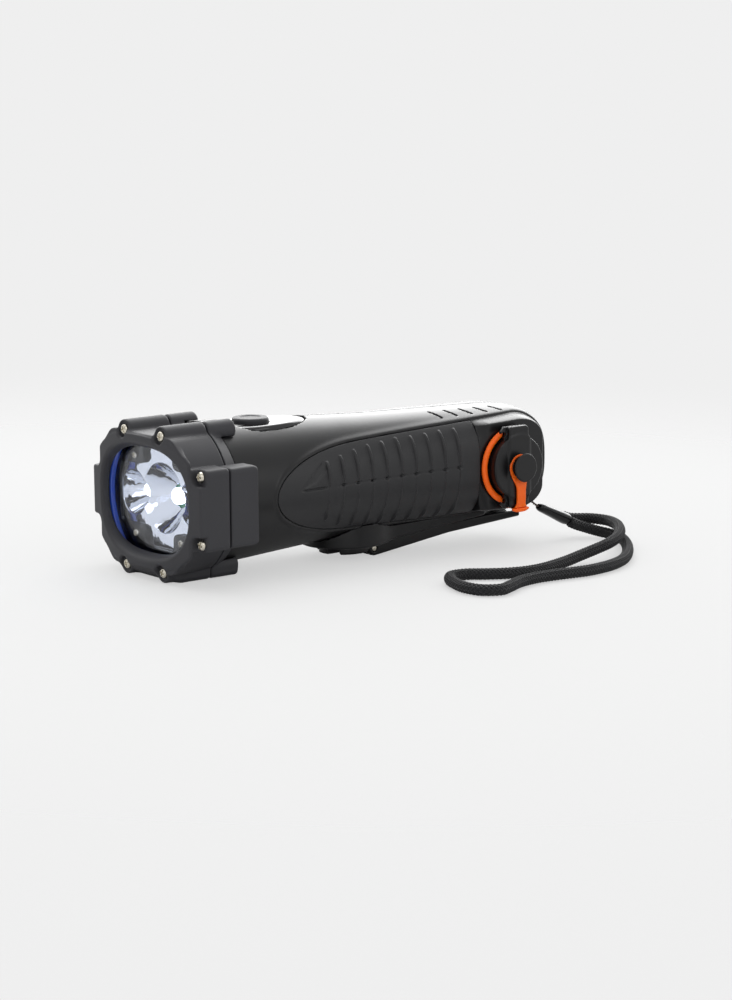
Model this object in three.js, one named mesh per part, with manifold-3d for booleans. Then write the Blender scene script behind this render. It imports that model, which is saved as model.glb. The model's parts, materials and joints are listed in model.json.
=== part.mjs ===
// Hand-cranked torch, in millimetres, +Z up.
// The torch is drawn in its own coordinates: x runs back from the face, y is sideways (the port
// is on the -y side) and z is up from the barrel's axis. A group then tips it onto its two rests,
// the head's bottom edge and the crank's hinge, and stands it over the origin.
import * as THREE from "three";
import { mergeVertices } from "three/addons/utils/BufferGeometryUtils.js";
import Module from "manifold-3d";

const wasm = await Module();
wasm.setup();

// Driving dimensions: fits
const gap = 0.3; // clearance between pieces that touch
const hair = 0.05; // how far cuts and joins run past a face
const overrun = 4; // how far a through cut runs past the wall

// Driving dimensions: head
const barrelRadius = 31.5;
const barrelFlatDrop = 4.8; // how far the flats on top and below lie inside the barrel's round
const barrelDraft = 1.6; // how much wider the barrel is behind the face
const faceOverhang = 5.5; // how far the face's ears stand out past the barrel
const faceSetBack = 3.3; // how far the sides of the face fall behind its middle
const facePlateDepth = 3.2;
const bezelLength = 21.5;
const collarLength = 6.2;
const collarRearRadius = 29.2;
const mouthMargin = 4.8; // face left beside the mouth
const mouthTopMargin = 3.8;
const mouthSquareness = 2.5; // exponent of the mouth's superellipse
const boreWall = 1.1; // barrel's wall round the bore
const boreWallFlat = 1.9;
const bossRadius = 4.3;
const bossSpread = 12.5; // sideways place of the top and bottom screws
const bossSunk = 0.4; // how far the bosses' axes lie inside the barrel's flats
const bossFront = 1.6;
const bossRear = 35;
const footBlockHalfWidth = 16.8;
const footBlockDrop = 4.3; // height of the head's block under the barrel's flat
const footRound = 2.4;
const footRest = 7; // where the block's bevelled front ends
const footBevel = 3.4;
const sideBlockHalfHeight = 15.9;
const sideBlockFront = 2.2;
const sideBlockSeam = 17.4;
const sideBlockRear = 31;
const sideBlockDepth = 10;
const sideBlockRound = 2.6;
const sideScrewInset = 3.6; // distance of the side screws from the ears' ends
const sideScrewHeight = 13.1;
const sideScrewDepth = 6.4;
const notchRadius = 3.2;
const notchInset = 2.8;

// Driving dimensions: screws
const headScrewRadius = 2.1;
const headScrewHeight = 1.3;
const headScrewShank = 1.1;
const headScrewLength = 24;
const sideScrewLength = 20;
const smallScrewRadius = 1.6;
const smallScrewHeight = 0.9;
const smallScrewShank = 0.9;
const smallScrewLength = 6;
const recessWidth = 0.7;
const recessDepth = 0.6;

// Driving dimensions: optics
const lensFront = 6;
const lensThickness = 2;
const gasketWidth = 1.4;
const maskFront = 9.4;
const maskThickness = 1.6;
const maskRoundShare = 0.546; // sizes of the window and the cups as shares of the bore's radius
const maskArmHeightShare = 0.4;
const maskArmLengthShare = 0.868;
const maskTallWidthShare = 0.316;
const maskTallHeightShare = 0.658;
const reflectorFront = 11.3;
const reflectorRear = 20.6;
const mainCupShare = 0.46;
const sideCupShare = 0.29;
const sideCupPlaceShare = 0.655;
const cupFloorRadius = 3.9;
const sideCupFloorRadius = 3.1;
const mainLedRadius = 3.4;
const sideLedRadius = 2.6;
const ledHeight = 3.2;
const ledBoardThickness = 1.5;
const reflectorScrewShare = 0.51;

// Driving dimensions: body
const bodyLength = 167;
const neckRadius = 28.7;
const wall = 2.6;
const seam = 0.15; // half of the seam between the two body shells
const bodyRingPoints = 32;
const hollowRingPoints = 20;
const ribRingPoints = 24;

// Driving dimensions: grips
const gripFront = 46.5;
const gripPortMargin = 0.7; // body left between the grip and the port's boss
const gripMiddle = -1.1; // height of the oval's middle line
const gripHalfHeight = 17.6;
const gripSpread = 2; // how much the oval's half height grows towards the rear
const gripNose = 47.5; // length of the oval's round front
const gripDepth = 1.3; // pocket in the shell
const gripProud = 0.5;
const ribCount = 10;
const ribWidth = 1.7;
const ribHeight = 0.8;
const firstRib = 72.9;
const lastRibInset = 9.9; // distance of the last rib from the grip's rear end
const ribTrim = 2.2; // distance from a rib's end to the grip's edge

// Driving dimensions: slots in the body's top
const slotCount = 5;
const slotPitch = 8;
const slotRearInset = 24.5; // distance of the last slots from the body's rear end
const slotHalfLength = 3.4;
const slotWidth = 1;
const slotDepth = 0.9;
const slotSpread = 11.7;
const slotTilt = 1.19; // slant of each slot in plan, in radians

// Driving dimensions: button
const buttonPlace = 53.7;
const buttonRadius = 7.4;
const buttonTop = 27.5;
const buttonBottom = 24.2;
const buttonDishRadius = 4.2;
const buttonDishDepth = 0.5;
const buttonPlateFront = 38.6;
const buttonPlateRear = 79;
const buttonPlateHalfWidth = 12.4;
const buttonPlateWidest = 51.5;
const buttonPlateTop = 26.1;
const buttonPlateDepth = 1.3;

// Driving dimensions: power
const batteryRadius = 9.1;
const batteryLength = 65;
const batteryFront = 46;
const batteryHeight = 8.8;
const batteryTip = 2;
const cradleHalfWidth = 7;
const cradleFront = 50;
const postRadius = 2.8;
const screwSeatDepth = 17; // distance of the body screws' seats from the seam
const boardFront = 42;
const boardRear = 88;
const boardHalfWidth = 9;
const boardThickness = 1.6;
const switchHalfWidth = 3;
const switchHeight = 3;

// Driving dimensions: crank
const crankAxis = 99.5;
const pedestalRadius = 17.8;
const pedestalFlat = 28.4; // underside of the pedestal, below the axis
const railHalfWidth = 12;
const railRearInset = 27.3; // distance of the rail's end from the body's rear end
const railRise = 7; // how much the rail's underside climbs to the rear
const shaftRadius = 2.9;
const hubShaftStep = 0.5; // how much thinner the shaft is inside the gear
const knuckleSlot = 2.5; // how far behind the axis the hub is cut through for the fork
const hubRadius = 10.8;
const hubDiscThickness = 3.3;
const hubWebThickness = 0.7;
const tongueHalfWidth = 2.95;
const knuckleRadius = 2.95;
const hingePlace = 110.5;
const hingePinRadius = 1.25;
const armHalfWidth = 7;
const armRearInset = 6.1; // distance of the folded arm's end from the body's rear end
const armTipTop = 24.6;
const armTipThickness = 2.7;
const forkLength = 24;
const knobInset = 9.2; // distance of the knob from the arm's end
const knobRadius = 5.8;
const knobHeight = 2.2;
const knobPinRadius = 1.5;

// Driving dimensions: gear train
const gearModule = 0.7;
const crankTeeth = 44;
const idlerSmallTeeth = 11;
const idlerLargeTeeth = 40;
const pinionTeeth = 10;
const gearBacklash = 0.14;
const crankGearBottom = -14;
const crankGearWidth = 3.4;
const idlerGearBottom = -9.5;
const idlerGearWidth = 2.4;
const idlerAxleRadius = 1.25;
const trayThickness = 1.5;
const trayReachFront = 17.5;
const trayReachRear = 12;
const trayLip = 4;
const trayTab = 1.5;
const trayPostInset = 3;
const trayPostRadius = 2.4;
const trayBottom = -17;
const plateBottom = -6.2;
const plateThickness = 1.1;
const gearPlateHalfWidth = 13;
const generatorRadius = 11;
const generatorHeight = 12;
const canWall = 1;
const rotorClearance = 2;
const rotorShaftRadius = 1;

// Driving dimensions: charging port
const portInset = 26.1; // distance of the port's axis from the body's rear end
const portHeight = -1.3;
const portBossRadius = 17.3;
const portBossFace = 23.7; // distance of the boss's flat face from the axis
const portBore = 11.4;
const capRadius = 13.1;
const capBack = 26.1;
const capFront = 29.5;
const capTabHalfWidth = 5.3;
const capTabReach = 17;
const capTabRound = 1.2;
const capWingReach = 8.5; // the brackets that hold the ends of the orange arc
const capWingLength = 6.6;
const capWingThickness = 1.9;
const capStep = 1; // how much narrower the cap is behind its disc
const capPlugWall = 2.6;
const capPlugRadius = 10.8;
const capPlugDepth = 8;
const knobCapRadius = 6.1;
const knobCapFront = 33.9;
const gasketInner = 13.7;
const gasketOuter = 17;
const gasketThickness = 1.6;
const strapLoopWidth = 1.4;
const strapThickness = 2;
const strapSunk = 0.3; // how far the strap lies in the cap's face
const strapHalfWidth = 2.5;
const strapFootHalfWidth = 4.9;
const strapFootThickness = 1.6;
const strapFootInner = 12; // where the foot ends under the body
const portTraySunk = 2;
const portTrayDepth = 8;
const portTrayWall = 1.2;
const portBoardBehind = 6;
const portBoardHalfLength = 10;
const portBoardHalfHeight = 11;
const socketRim = 0.5;
const socketFloor = 2;

// Driving dimensions: wrist strap
const strapPinInset = 11.3; // distance of the pin's middle from the body's rear end
const strapPinDepth = 15.5;
const strapPinRadius = 1.2;
const strapPinHalfLength = 4.9;
const strapPinSunk = 1.4;
const eyeHeight = 14.5;
const eyeHalfWidth = 2.6;
const eyeReach = 4;
const cordDiameter = 4.8;
const cordSides = 8;
const cordSteps = 56;
const stringDiameter = 1;
const stringSteps = 8;
const ferruleRadius = 1.9;
const ferruleEndRadius = 2.5;
const ferruleStretch = 1.5; // width of the ferrule over its height

// Wrist strap, in millimetres: x runs back from the face along the floor, z is up from the floor
const ferrulePoints = [
  [190.1, -18, 15.5],
  [206.3, -18, 8.6],
];
const stringPoints = [
  [184.7, -17.4, 20.6],
  [185.5, -17.8, 19.4],
  [187.2, -18, 17.2],
  [189.8, -18, 15.65],
];
const cordPoints = [
  [207, -15.5, 9.3],
  [209.3, -15.5, 8.5],
  [214, -16, 7.9],
  [219, -19, 7.9],
  [221.6, -25.5, 7.9],
  [219, -35, 7.9],
  [212.5, -44.5, 7.9],
  [204.8, -53, 7.8],
  [196.5, -60, 7.3],
  [188, -64.3, 6.5],
  [179, -66.2, 5.2],
  [169.7, -67.9, 3.9],
  [160.9, -70.3, 3],
  [151.6, -73.3, 2.6],
  [140.8, -76.8, 2.5],
  [130.7, -78.2, 2.5],
  [121.5, -76.8, 2.5],
  [114, -73.6, 2.5],
  [107, -70, 2.5],
  [100, -70.3, 2.5],
  [94.6, -75.6, 2.5],
  [91, -83.4, 2.5],
  [89, -91.5, 2.5],
  [91, -99, 2.5],
  [97.5, -102, 2.5],
  [105.5, -98.6, 2.5],
  [113.8, -94, 2.5],
  [123.5, -90.8, 2.5],
  [134.4, -89.6, 2.5],
  [144.3, -89.7, 2.5],
  [152.8, -89.7, 2.5],
  [162, -88, 2.5],
  [172.5, -84.5, 2.5],
  [183.3, -78.5, 2.5],
  [192.4, -71, 2.5],
  [200.6, -62.8, 2.5],
  [208.3, -54, 2.5],
  [215, -45, 2.5],
  [219.8, -36.5, 2.5],
  [221, -29, 2.6],
  [218.6, -24, 3.3],
  [213.8, -21.3, 4.9],
  [208.6, -20.6, 6.7],
  [206.4, -20.6, 7.65],
];

// Outline tables. Each row is chosen by hand: share of the body's length, half height and half
// width as shares of the neck radius, and how square the section is (2 is round).
const bodyShares = [
  [0, 1, 1, 2],
  [0.09, 0.976, 0.976, 2],
  [0.15, 0.955, 0.955, 2],
  [0.22, 0.93, 0.93, 2.02],
  [0.31, 0.896, 0.898, 2.08],
  [0.37, 0.875, 0.88, 2.12],
  [0.49, 0.836, 0.856, 2.25],
  [0.64, 0.808, 0.85, 2.5],
  [0.76, 0.786, 0.85, 2.75],
  [0.87, 0.764, 0.846, 2.9],
  [0.925, 0.73, 0.82, 2.9],
  [0.962, 0.66, 0.755, 2.8],
  [0.985, 0.55, 0.64, 2.7],
  [1, 0.38, 0.46, 2.6],
];

// A quarter of the face plate's outline, as shares of its half width.
const faceShares = [
  [0, 0.708],
  [0.324, 0.7],
  [0.495, 0.676],
  [0.635, 0.619],
  [0.757, 0.551],
  [0.846, 0.481],
  [0.919, 0.392],
  [1, 0.324],
];

// The rail's underside: shares of its length behind the hinge and of its rise.
const railShares = [
  [0.035, 0],
  [0.165, 0.157],
  [0.687, 0.5],
  [0.94, 0.67],
  [1.07, 1],
];

// The arm's bends: shares of its length behind the hinge and of its rise to the tip.
const armUnderShares = [[0.506, 0.248]];
const armTopShares = [
  [0.769, 0.986],
  [0.506, 0.83],
];

// Sockets: name, height over the port's axis, half width and half height.
const socketRows = [
  ["usb_socket", 4.6, 7, 3.1],
  ["charge_socket", -5.4, 4.2, 1.9],
];

// Derived places
const barrelFlat = barrelRadius - barrelFlatDrop;
const faceHalfWidth = barrelRadius + faceOverhang;
const headBore = barrelRadius - boreWall;
const headBoreFlat = barrelFlat - boreWallFlat;
const mouthHalfWidth = faceHalfWidth - mouthMargin;
const mouthHalfHeight = barrelFlat - mouthTopMargin;
const bossHeight = barrelFlat - bossSunk;
const footBlockHeight = barrelFlat + footBlockDrop;
const sideBlockInner = faceHalfWidth - sideBlockDepth;
const sideScrewSpread = faceHalfWidth - sideScrewInset;
const notchSpread = faceHalfWidth - notchInset;
const maskRoundRadius = headBore * maskRoundShare;
const maskArmHalfHeight = headBore * maskArmHeightShare;
const maskArmHalfLength = headBore * maskArmLengthShare;
const maskTallHalfWidth = headBore * maskTallWidthShare;
const maskTallHalfHeight = headBore * maskTallHeightShare;
const mainCupRadius = headBore * mainCupShare;
const sideCupRadius = headBore * sideCupShare;
const sideCupSpread = headBore * sideCupPlaceShare;
const reflectorScrewSpread = headBore * reflectorScrewShare;
const reflectorScrewHeight = reflectorScrewSpread;
const bodyFront = bezelLength + gap + collarLength + gap;
const collarFront = bezelLength + gap;
const bodyRear = bodyFront + bodyLength;
const portPlace = bodyRear - portInset;
const strapPinPlace = bodyRear - strapPinInset;
const gripRear = portPlace - portBossRadius - gripPortMargin;
const ribPitch = (gripRear - lastRibInset - firstRib) / (ribCount - 1);
const slotFirst = bodyRear - slotRearInset - slotPitch * (slotCount - 1);
const railRear = bodyRear - railRearInset;
const armRear = bodyRear - armRearInset;
const knobPlace = armRear - knobInset;
const hingeHeight = pedestalFlat + gap + knuckleRadius;
const pedestalFace = pedestalFlat + gap;
const idlerAxis = crankAxis + (gearModule * (crankTeeth + idlerSmallTeeth)) / 2;
const rotorAxis = idlerAxis + (gearModule * (idlerLargeTeeth + pinionTeeth)) / 2;
const plateTop = plateBottom + plateThickness;

// Materials
const paint = (color, roughness, metalness) =>
  new THREE.MeshStandardMaterial({ color, roughness, metalness });
const shellPlastic = paint("#2b2b2e", 0.42, 0);
const facePlastic = paint("#3c3c42", 0.4, 0);
const gripRubber = paint("#1d1d20", 0.6, 0);
const glossPlastic = paint("#0c0c0e", 0.15, 0);
const orangeRubber = paint("#f36f21", 0.5, 0);
const clearPlastic = paint("#dfe9f5", 0.05, 0);
const blueRubber = paint("#10208c", 0.4, 0);
const mirror = paint("#e8ecf2", 0.08, 1);
const steel = paint("#c3c5c8", 0.3, 1);
const brass = paint("#c9a353", 0.35, 1);
const ledWhite = paint("#f4f7ff", 0.3, 0);
const boardGreen = paint("#1f5b3a", 0.5, 0);
const nylon = paint("#e6e2d6", 0.55, 0);
const cellWrap = paint("#3f6fa8", 0.4, 0);
const cordFabric = paint("#141416", 0.85, 0);

// Shape helpers
const arcSteps = 4; // flat steps in each rounded corner of an outline
const turnSides = 36; // sides of the large round pieces
const holeSides = 12;
function toSolid(geometry) {
  const plain = geometry.clone();
  plain.deleteAttribute("normal");
  plain.deleteAttribute("uv");
  const merged = mergeVertices(plain, 1e-5);
  return new wasm.Manifold(
    new wasm.Mesh({
      numProp: 3,
      vertProperties: new Float32Array(merged.attributes.position.array),
      triVerts: new Uint32Array(merged.index.array),
    }),
  );
}

function toGeometry(solid) {
  const mesh = solid.getMesh();
  const geometry = new THREE.BufferGeometry();
  geometry.setAttribute("position", new THREE.BufferAttribute(mesh.vertProperties, 3));
  geometry.setIndex(new THREE.BufferAttribute(mesh.triVerts, 1));
  return geometry;
}

const unite = (first, ...rest) => rest.reduce((sum, next) => sum.add(next), first);
const carve = (first, ...rest) => rest.reduce((left, next) => left.subtract(next), first);

function box(x0, x1, y0, y1, z0, z1) {
  const geometry = new THREE.BoxGeometry(x1 - x0, y1 - y0, z1 - z0);
  geometry.translate((x0 + x1) / 2, (y0 + y1) / 2, (z0 + z1) / 2);
  return toSolid(geometry);
}

// Round bars along each axis; r0 is the radius at the low end and r1 at the high end.
function barX(x0, x1, y, z, r0, r1 = r0, sides = 28) {
  const geometry = new THREE.CylinderGeometry(r0, r1, x1 - x0, sides);
  geometry.rotateZ(Math.PI / 2);
  geometry.translate((x0 + x1) / 2, y, z);
  return toSolid(geometry);
}

function barY(y0, y1, x, z, r0, r1 = r0, sides = 28) {
  const geometry = new THREE.CylinderGeometry(r1, r0, y1 - y0, sides);
  geometry.translate(x, (y0 + y1) / 2, z);
  return toSolid(geometry);
}

function barZ(z0, z1, x, y, r0, r1 = r0, sides = 28) {
  const geometry = new THREE.CylinderGeometry(r1, r0, z1 - z0, sides);
  geometry.rotateX(Math.PI / 2);
  geometry.translate(x, y, (z0 + z1) / 2);
  return toSolid(geometry);
}

function shapeOf(points) {
  return new THREE.Shape(points.map(([a, b]) => new THREE.Vector2(a, b)));
}

const extruded = (shape, depth) =>
  new THREE.ExtrudeGeometry(shape, { depth, bevelEnabled: false, curveSegments: arcSteps, steps: 1 });

// Prisms: of a (y, z) outline along x, of an (x, z) outline along y, of an (x, y) outline along z.
function prismX(shape, x0, x1) {
  const geometry = extruded(shape, x1 - x0);
  geometry.applyMatrix4(new THREE.Matrix4().set(0, 0, 1, x0, 1, 0, 0, 0, 0, 1, 0, 0, 0, 0, 0, 1));
  return toSolid(geometry);
}

function prismY(shape, y0, y1) {
  const geometry = extruded(shape, y1 - y0);
  geometry.rotateX(Math.PI / 2);
  geometry.translate(0, y1, 0);
  return toSolid(geometry);
}

function prismZ(shape, z0, z1) {
  const geometry = extruded(shape, z1 - z0);
  geometry.translate(0, 0, z0);
  return toSolid(geometry);
}

function roundedRect(x0, x1, y0, y1, r) {
  const shape = new THREE.Shape();
  shape.moveTo(x0 + r, y0);
  shape.lineTo(x1 - r, y0);
  shape.absarc(x1 - r, y0 + r, r, -Math.PI / 2, 0, false);
  shape.lineTo(x1, y1 - r);
  shape.absarc(x1 - r, y1 - r, r, 0, Math.PI / 2, false);
  shape.lineTo(x0 + r, y1);
  shape.absarc(x0 + r, y1 - r, r, Math.PI / 2, Math.PI, false);
  shape.lineTo(x0, y0 + r);
  shape.absarc(x0 + r, y0 + r, r, Math.PI, 1.5 * Math.PI, false);
  return shape;
}

// A disc of the given radius cut off flat above and below.
function flatDisc(radius, flat, x0, x1, sides = turnSides) {
  const cut = box(x0 - overrun, x1 + overrun, -2 * radius, 2 * radius, -flat, flat);
  return barX(x0, x1, 0, 0, radius, radius, sides).intersect(cut);
}

function superellipse(halfWidth, halfHeight, exponent, points) {
  const ring = [];
  for (let i = 0; i < points; i++) {
    const t = (2 * Math.PI * i) / points;
    const s = Math.sin(t);
    const c = Math.cos(t);
    ring.push([
      halfWidth * Math.sign(s) * Math.abs(s) ** (2 / exponent),
      halfHeight * Math.sign(c) * Math.abs(c) ** (2 / exponent),
    ]);
  }
  return ring;
}

// Smooth value of a column of a table at a place, by cubic steps between its rows.
function tableValue(table, column, place) {
  let i = 0;
  while (i < table.length - 2 && place > table[i + 1][0]) i++;
  const slope = (j) => {
    const a = Math.max(0, j - 1);
    const b = Math.min(table.length - 1, j + 1);
    return (table[b][column] - table[a][column]) / (table[b][0] - table[a][0]);
  };
  const span = table[i + 1][0] - table[i][0];
  const t = (place - table[i][0]) / span;
  const p0 = table[i][column];
  const p1 = table[i + 1][column];
  const m0 = slope(i) * span;
  const m1 = slope(i + 1) * span;
  const a = 2 * t ** 3 - 3 * t ** 2 + 1;
  const b = t ** 3 - 2 * t ** 2 + t;
  return a * p0 + b * m0 + (1 - a) * p1 + (t ** 3 - t ** 2) * m1;
}

// The body's solid, grown or shrunk by an offset, between two shares of its length.
function bodySolid(offset, points, endShare = 1, every = 1) {
  const shares = bodyShares.map((row) => row[0]).filter((s, i) => s < endShare && i % every === 0);
  shares.push(endShare);
  const vertices = [];
  const triangles = [];
  for (const share of shares) {
    const ring = superellipse(
      neckRadius * tableValue(bodyShares, 2, share) + offset,
      neckRadius * tableValue(bodyShares, 1, share) + offset,
      tableValue(bodyShares, 3, share),
      points,
    );
    const x = bodyFront + share * bodyLength;
    for (const [y, z] of ring) vertices.push(x, y, z);
  }
  const rings = shares.length;
  const front = vertices.length / 3;
  vertices.push(vertices[0], 0, 0);
  const rear = front + 1;
  vertices.push(vertices[(front - 1) * 3], 0, 0);
  for (let i = 0; i < rings - 1; i++) {
    for (let j = 0; j < points; j++) {
      const k = (j + 1) % points;
      const a = i * points + j;
      const b = i * points + k;
      const d = (i + 1) * points + j;
      const c = (i + 1) * points + k;
      triangles.push(a, d, b, b, d, c);
    }
  }
  for (let j = 0; j < points; j++) {
    const k = (j + 1) % points;
    triangles.push(front, j, k);
    triangles.push(rear, (rings - 1) * points + k, (rings - 1) * points + j);
  }
  const geometry = new THREE.BufferGeometry();
  geometry.setAttribute("position", new THREE.Float32BufferAttribute(vertices, 3));
  geometry.setIndex(triangles);
  return toSolid(geometry);
}

// A turned piece from a closed (radius, height) profile, standing along +z.
function turned(profile, sides) {
  const geometry = new THREE.LatheGeometry(
    profile.map(([r, h]) => new THREE.Vector2(r, h)),
    sides,
  );
  geometry.rotateX(Math.PI / 2);
  return toSolid(geometry);
}

// A pan-head screw with a cross recess; its head points along +z and its seat is at z = 0.
function screw(headRadius, headHeight, shankRadius, length, sides = 8) {
  const blank = turned(
    [
      [0, -length],
      [shankRadius, -length],
      [shankRadius, 0],
      [headRadius, 0],
      [headRadius, headHeight / 2],
      [headRadius - headHeight / 2, headHeight],
      [0, headHeight],
    ],
    sides,
  );
  const arm = headRadius - headHeight / 2;
  const half = recessWidth / 2;
  const floor = headHeight - recessDepth;
  const top = headHeight + hair;
  return carve(
    blank,
    box(-arm, arm, -half, half, floor, top),
    box(-half, half, -arm, arm, floor, top),
  );
}

// The group that holds every rigid piece in the torch's own coordinates
const torch = new THREE.Group();

function place(name, solid, material, parent = torch) {
  const mesh = new THREE.Mesh(toGeometry(solid), material);
  mesh.name = name;
  parent.add(mesh);
  return mesh;
}

// Head: bezel
const facePoints = faceShares.map(([a, b]) => [a * faceHalfWidth, b * faceHalfWidth]);
const faceQuarters = [
  ...facePoints,
  ...facePoints.slice().reverse().map(([y, z]) => [y, -z]),
  ...facePoints.slice(1).map(([y, z]) => [-y, -z]),
  ...facePoints.slice(1).reverse().map(([y, z]) => [-y, z]),
].reverse();
const faceOutline = shapeOf(faceQuarters);
const mouthOutline = shapeOf(
  superellipse(mouthHalfWidth, mouthHalfHeight, mouthSquareness, 28).reverse(),
);
const faceCurve = (faceHalfWidth ** 2 + faceSetBack ** 2) / (2 * faceSetBack);
// the face bulges forward in plan: everything in front of a tall, wide drum is cut away
const faceDrum = barZ(-faceHalfWidth, faceHalfWidth, faceCurve, 0, faceCurve, faceCurve, 160);

const barrelCut = box(-overrun, bodyFront, -faceHalfWidth, faceHalfWidth, -barrelFlat, barrelFlat);
const barrelFront = barrelRadius + barrelDraft;
const barrel = barX(facePlateDepth - hair, bezelLength, 0, 0, barrelFront, barrelRadius, turnSides);
const bossBars = (x0, x1, radius) =>
  [1, -1].map((side) => barX(x0, x1, side * bossSpread, bossHeight, radius, radius, 16));
const footWedge = prismY(
  shapeOf([
    [-overrun, -footBlockHeight - overrun],
    [footRest, -footBlockHeight - overrun],
    [footRest, -footBlockHeight],
    [bossFront, -footBlockHeight + footBevel],
    [-overrun, -footBlockHeight + footBevel],
  ]),
  -faceHalfWidth,
  faceHalfWidth,
);
const footOutline = roundedRect(
  -footBlockHalfWidth,
  footBlockHalfWidth,
  -footBlockHeight,
  -headBoreFlat + gap,
  footRound,
);
const footBlock = (x0, x1) =>
  carve(
    prismX(footOutline, x0, x1),
    footWedge,
  );
const sideBlocks = (x0, x1) =>
  [1, -1].map((side) => {
    const inner = side * sideBlockInner;
    const outer = side * faceHalfWidth;
    const outline = roundedRect(
      Math.min(inner, outer),
      Math.max(inner, outer),
      -sideBlockHalfHeight,
      sideBlockHalfHeight,
      sideBlockRound,
    );
    return prismX(outline, x0, x1);
  });
const headSolid = unite(
  barrel.intersect(barrelCut),
  prismX(faceOutline, 0, facePlateDepth),
  ...bossBars(bossFront, bezelLength, bossRadius),
  footBlock(bossFront, bezelLength),
  ...sideBlocks(sideBlockFront, sideBlockSeam),
);
const screwHole = headScrewShank + gap;
const topScrews = [
  ["bezel_screw_top_left", bossSpread, bossHeight + gap],
  ["bezel_screw_top_right", -bossSpread, bossHeight + gap],
  ["bezel_screw_bottom_left", bossSpread, -bossHeight - gap],
  ["bezel_screw_bottom_right", -bossSpread, -bossHeight - gap],
];
const sideScrews = [
  ["bezel_screw_left_upper", sideScrewSpread, sideScrewHeight],
  ["bezel_screw_left_lower", sideScrewSpread, -sideScrewHeight],
  ["bezel_screw_right_upper", -sideScrewSpread, sideScrewHeight],
  ["bezel_screw_right_lower", -sideScrewSpread, -sideScrewHeight],
];
const screwSeat = bossFront + headScrewHeight;
const holesFor = (rows) =>
  rows.map(([, y, z]) => barX(-overrun, bossRear + overrun, y, z, screwHole, screwHole, 8));
const topCounterbores = topScrews.map(([, y, z]) =>
  barX(-overrun, screwSeat, y, z, headScrewRadius + gap, headScrewRadius + gap, 12),
);
const sideNotches = sideScrews.map(([, side, z]) => {
  const y = Math.sign(side) * notchSpread;
  const top = Math.sign(z) * (sideBlockHalfHeight + overrun);
  return unite(
    barX(-overrun, sideScrewDepth, y, z, notchRadius, notchRadius, 12),
    box(
      -overrun,
      sideScrewDepth,
      Math.min(y - notchRadius, y + notchRadius),
      Math.max(y - notchRadius, y + notchRadius),
      Math.min(z, top),
      Math.max(z, top),
    ),
    box(
      -overrun,
      sideScrewDepth,
      Math.min(y, y + Math.sign(y) * notchRadius * 2),
      Math.max(y, y + Math.sign(y) * notchRadius * 2),
      Math.min(z - notchRadius, z + notchRadius, top),
      Math.max(z - notchRadius, z + notchRadius, top),
    ),
  );
});
const boreCut = flatDisc(headBore, headBoreFlat, facePlateDepth, bodyFront + overrun, turnSides);
const bezel = carve(
  headSolid.intersect(faceDrum),
  prismX(mouthOutline, -overrun, facePlateDepth + hair),
  boreCut,
  ...topCounterbores,
  ...sideNotches,
  ...holesFor([...topScrews, ...sideScrews]),
);
place("bezel", bezel, facePlastic);

// Head: collar behind the bezel, which the eight screws draw the bezel onto
const collarRear = collarFront + collarLength;
const collarCone = barX(collarFront, collarRear, 0, 0, barrelRadius, collarRearRadius, turnSides);
const collarFlat = barrelFlat + gap;
const bodyClear = bodySolid(gap, bodyRingPoints);
const collarOuter = unite(
  collarCone.intersect(box(0, bodyFront, -faceHalfWidth, faceHalfWidth, -collarFlat, collarFlat)),
  ...bossBars(collarFront, bossRear, bossRadius - gap),
  footBlock(collarFront, bossRear),
  ...sideBlocks(sideBlockSeam + gap, sideBlockRear),
);
const bezelRoom = barX(0, collarFront - hair, 0, 0, barrelFront + gap, barrelRadius + gap, turnSides);
const neckOuter = neckRadius + gap;
const neckRoom = barX(bodyFront - gap, bossRear + overrun, 0, 0, neckOuter, neckOuter, turnSides);
const collar = carve(
  collarOuter,
  bezelRoom,
  neckRoom,
  bodyClear,
  flatDisc(headBore - gap - wall, headBoreFlat - wall, 0, bodyFront + overrun, turnSides),
  ...holesFor([...topScrews, ...sideScrews]),
);
place("head_collar", collar, shellPlastic);

// Head: screws of the bezel
const facing = (x, y, z) => new THREE.Matrix4().makeRotationY(-Math.PI / 2).setPosition(x, y, z);
const moved = (solid, matrix) => solid.transform(matrix.elements);
for (const [name, y, z] of topScrews) {
  const blank = screw(headScrewRadius, headScrewHeight, headScrewShank, headScrewLength);
  place(name, moved(blank, facing(screwSeat - gap, y, z)), steel);
}
for (const [name, y, z] of sideScrews) {
  const blank = screw(headScrewRadius, headScrewHeight, headScrewShank, sideScrewLength);
  place(name, moved(blank, facing(sideScrewDepth - gap, y, z)), steel);
}

// Head: lens, its gasket, mask, reflector, LED board and the three LEDs
const lensRadius = headBore - gap - gasketWidth - gap;
const lensFlat = headBoreFlat - gap - gasketWidth - gap;
place("lens", flatDisc(lensRadius, lensFlat, lensFront, lensFront + lensThickness), clearPlastic);
const gasketRing = carve(
  flatDisc(headBore - gap, headBoreFlat - gap, lensFront - gap, lensFront + lensThickness + gap),
  flatDisc(lensRadius + gap, lensFlat + gap, 0, bezelLength),
);
place("lens_gasket", gasketRing, blueRubber);
const maskWindow = unite(
  barX(0, bezelLength, 0, 0, maskRoundRadius, maskRoundRadius, 40),
  box(0, bezelLength, -maskArmHalfLength, maskArmHalfLength, -maskArmHalfHeight, maskArmHalfHeight),
  box(0, bezelLength, -maskTallHalfWidth, maskTallHalfWidth, -maskTallHalfHeight, maskTallHalfHeight),
);
const reflectorScrews = [
  ["reflector_screw_1", reflectorScrewSpread, reflectorScrewHeight],
  ["reflector_screw_2", reflectorScrewSpread, -reflectorScrewHeight],
  ["reflector_screw_3", -reflectorScrewSpread, reflectorScrewHeight],
  ["reflector_screw_4", -reflectorScrewSpread, -reflectorScrewHeight],
];
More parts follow.
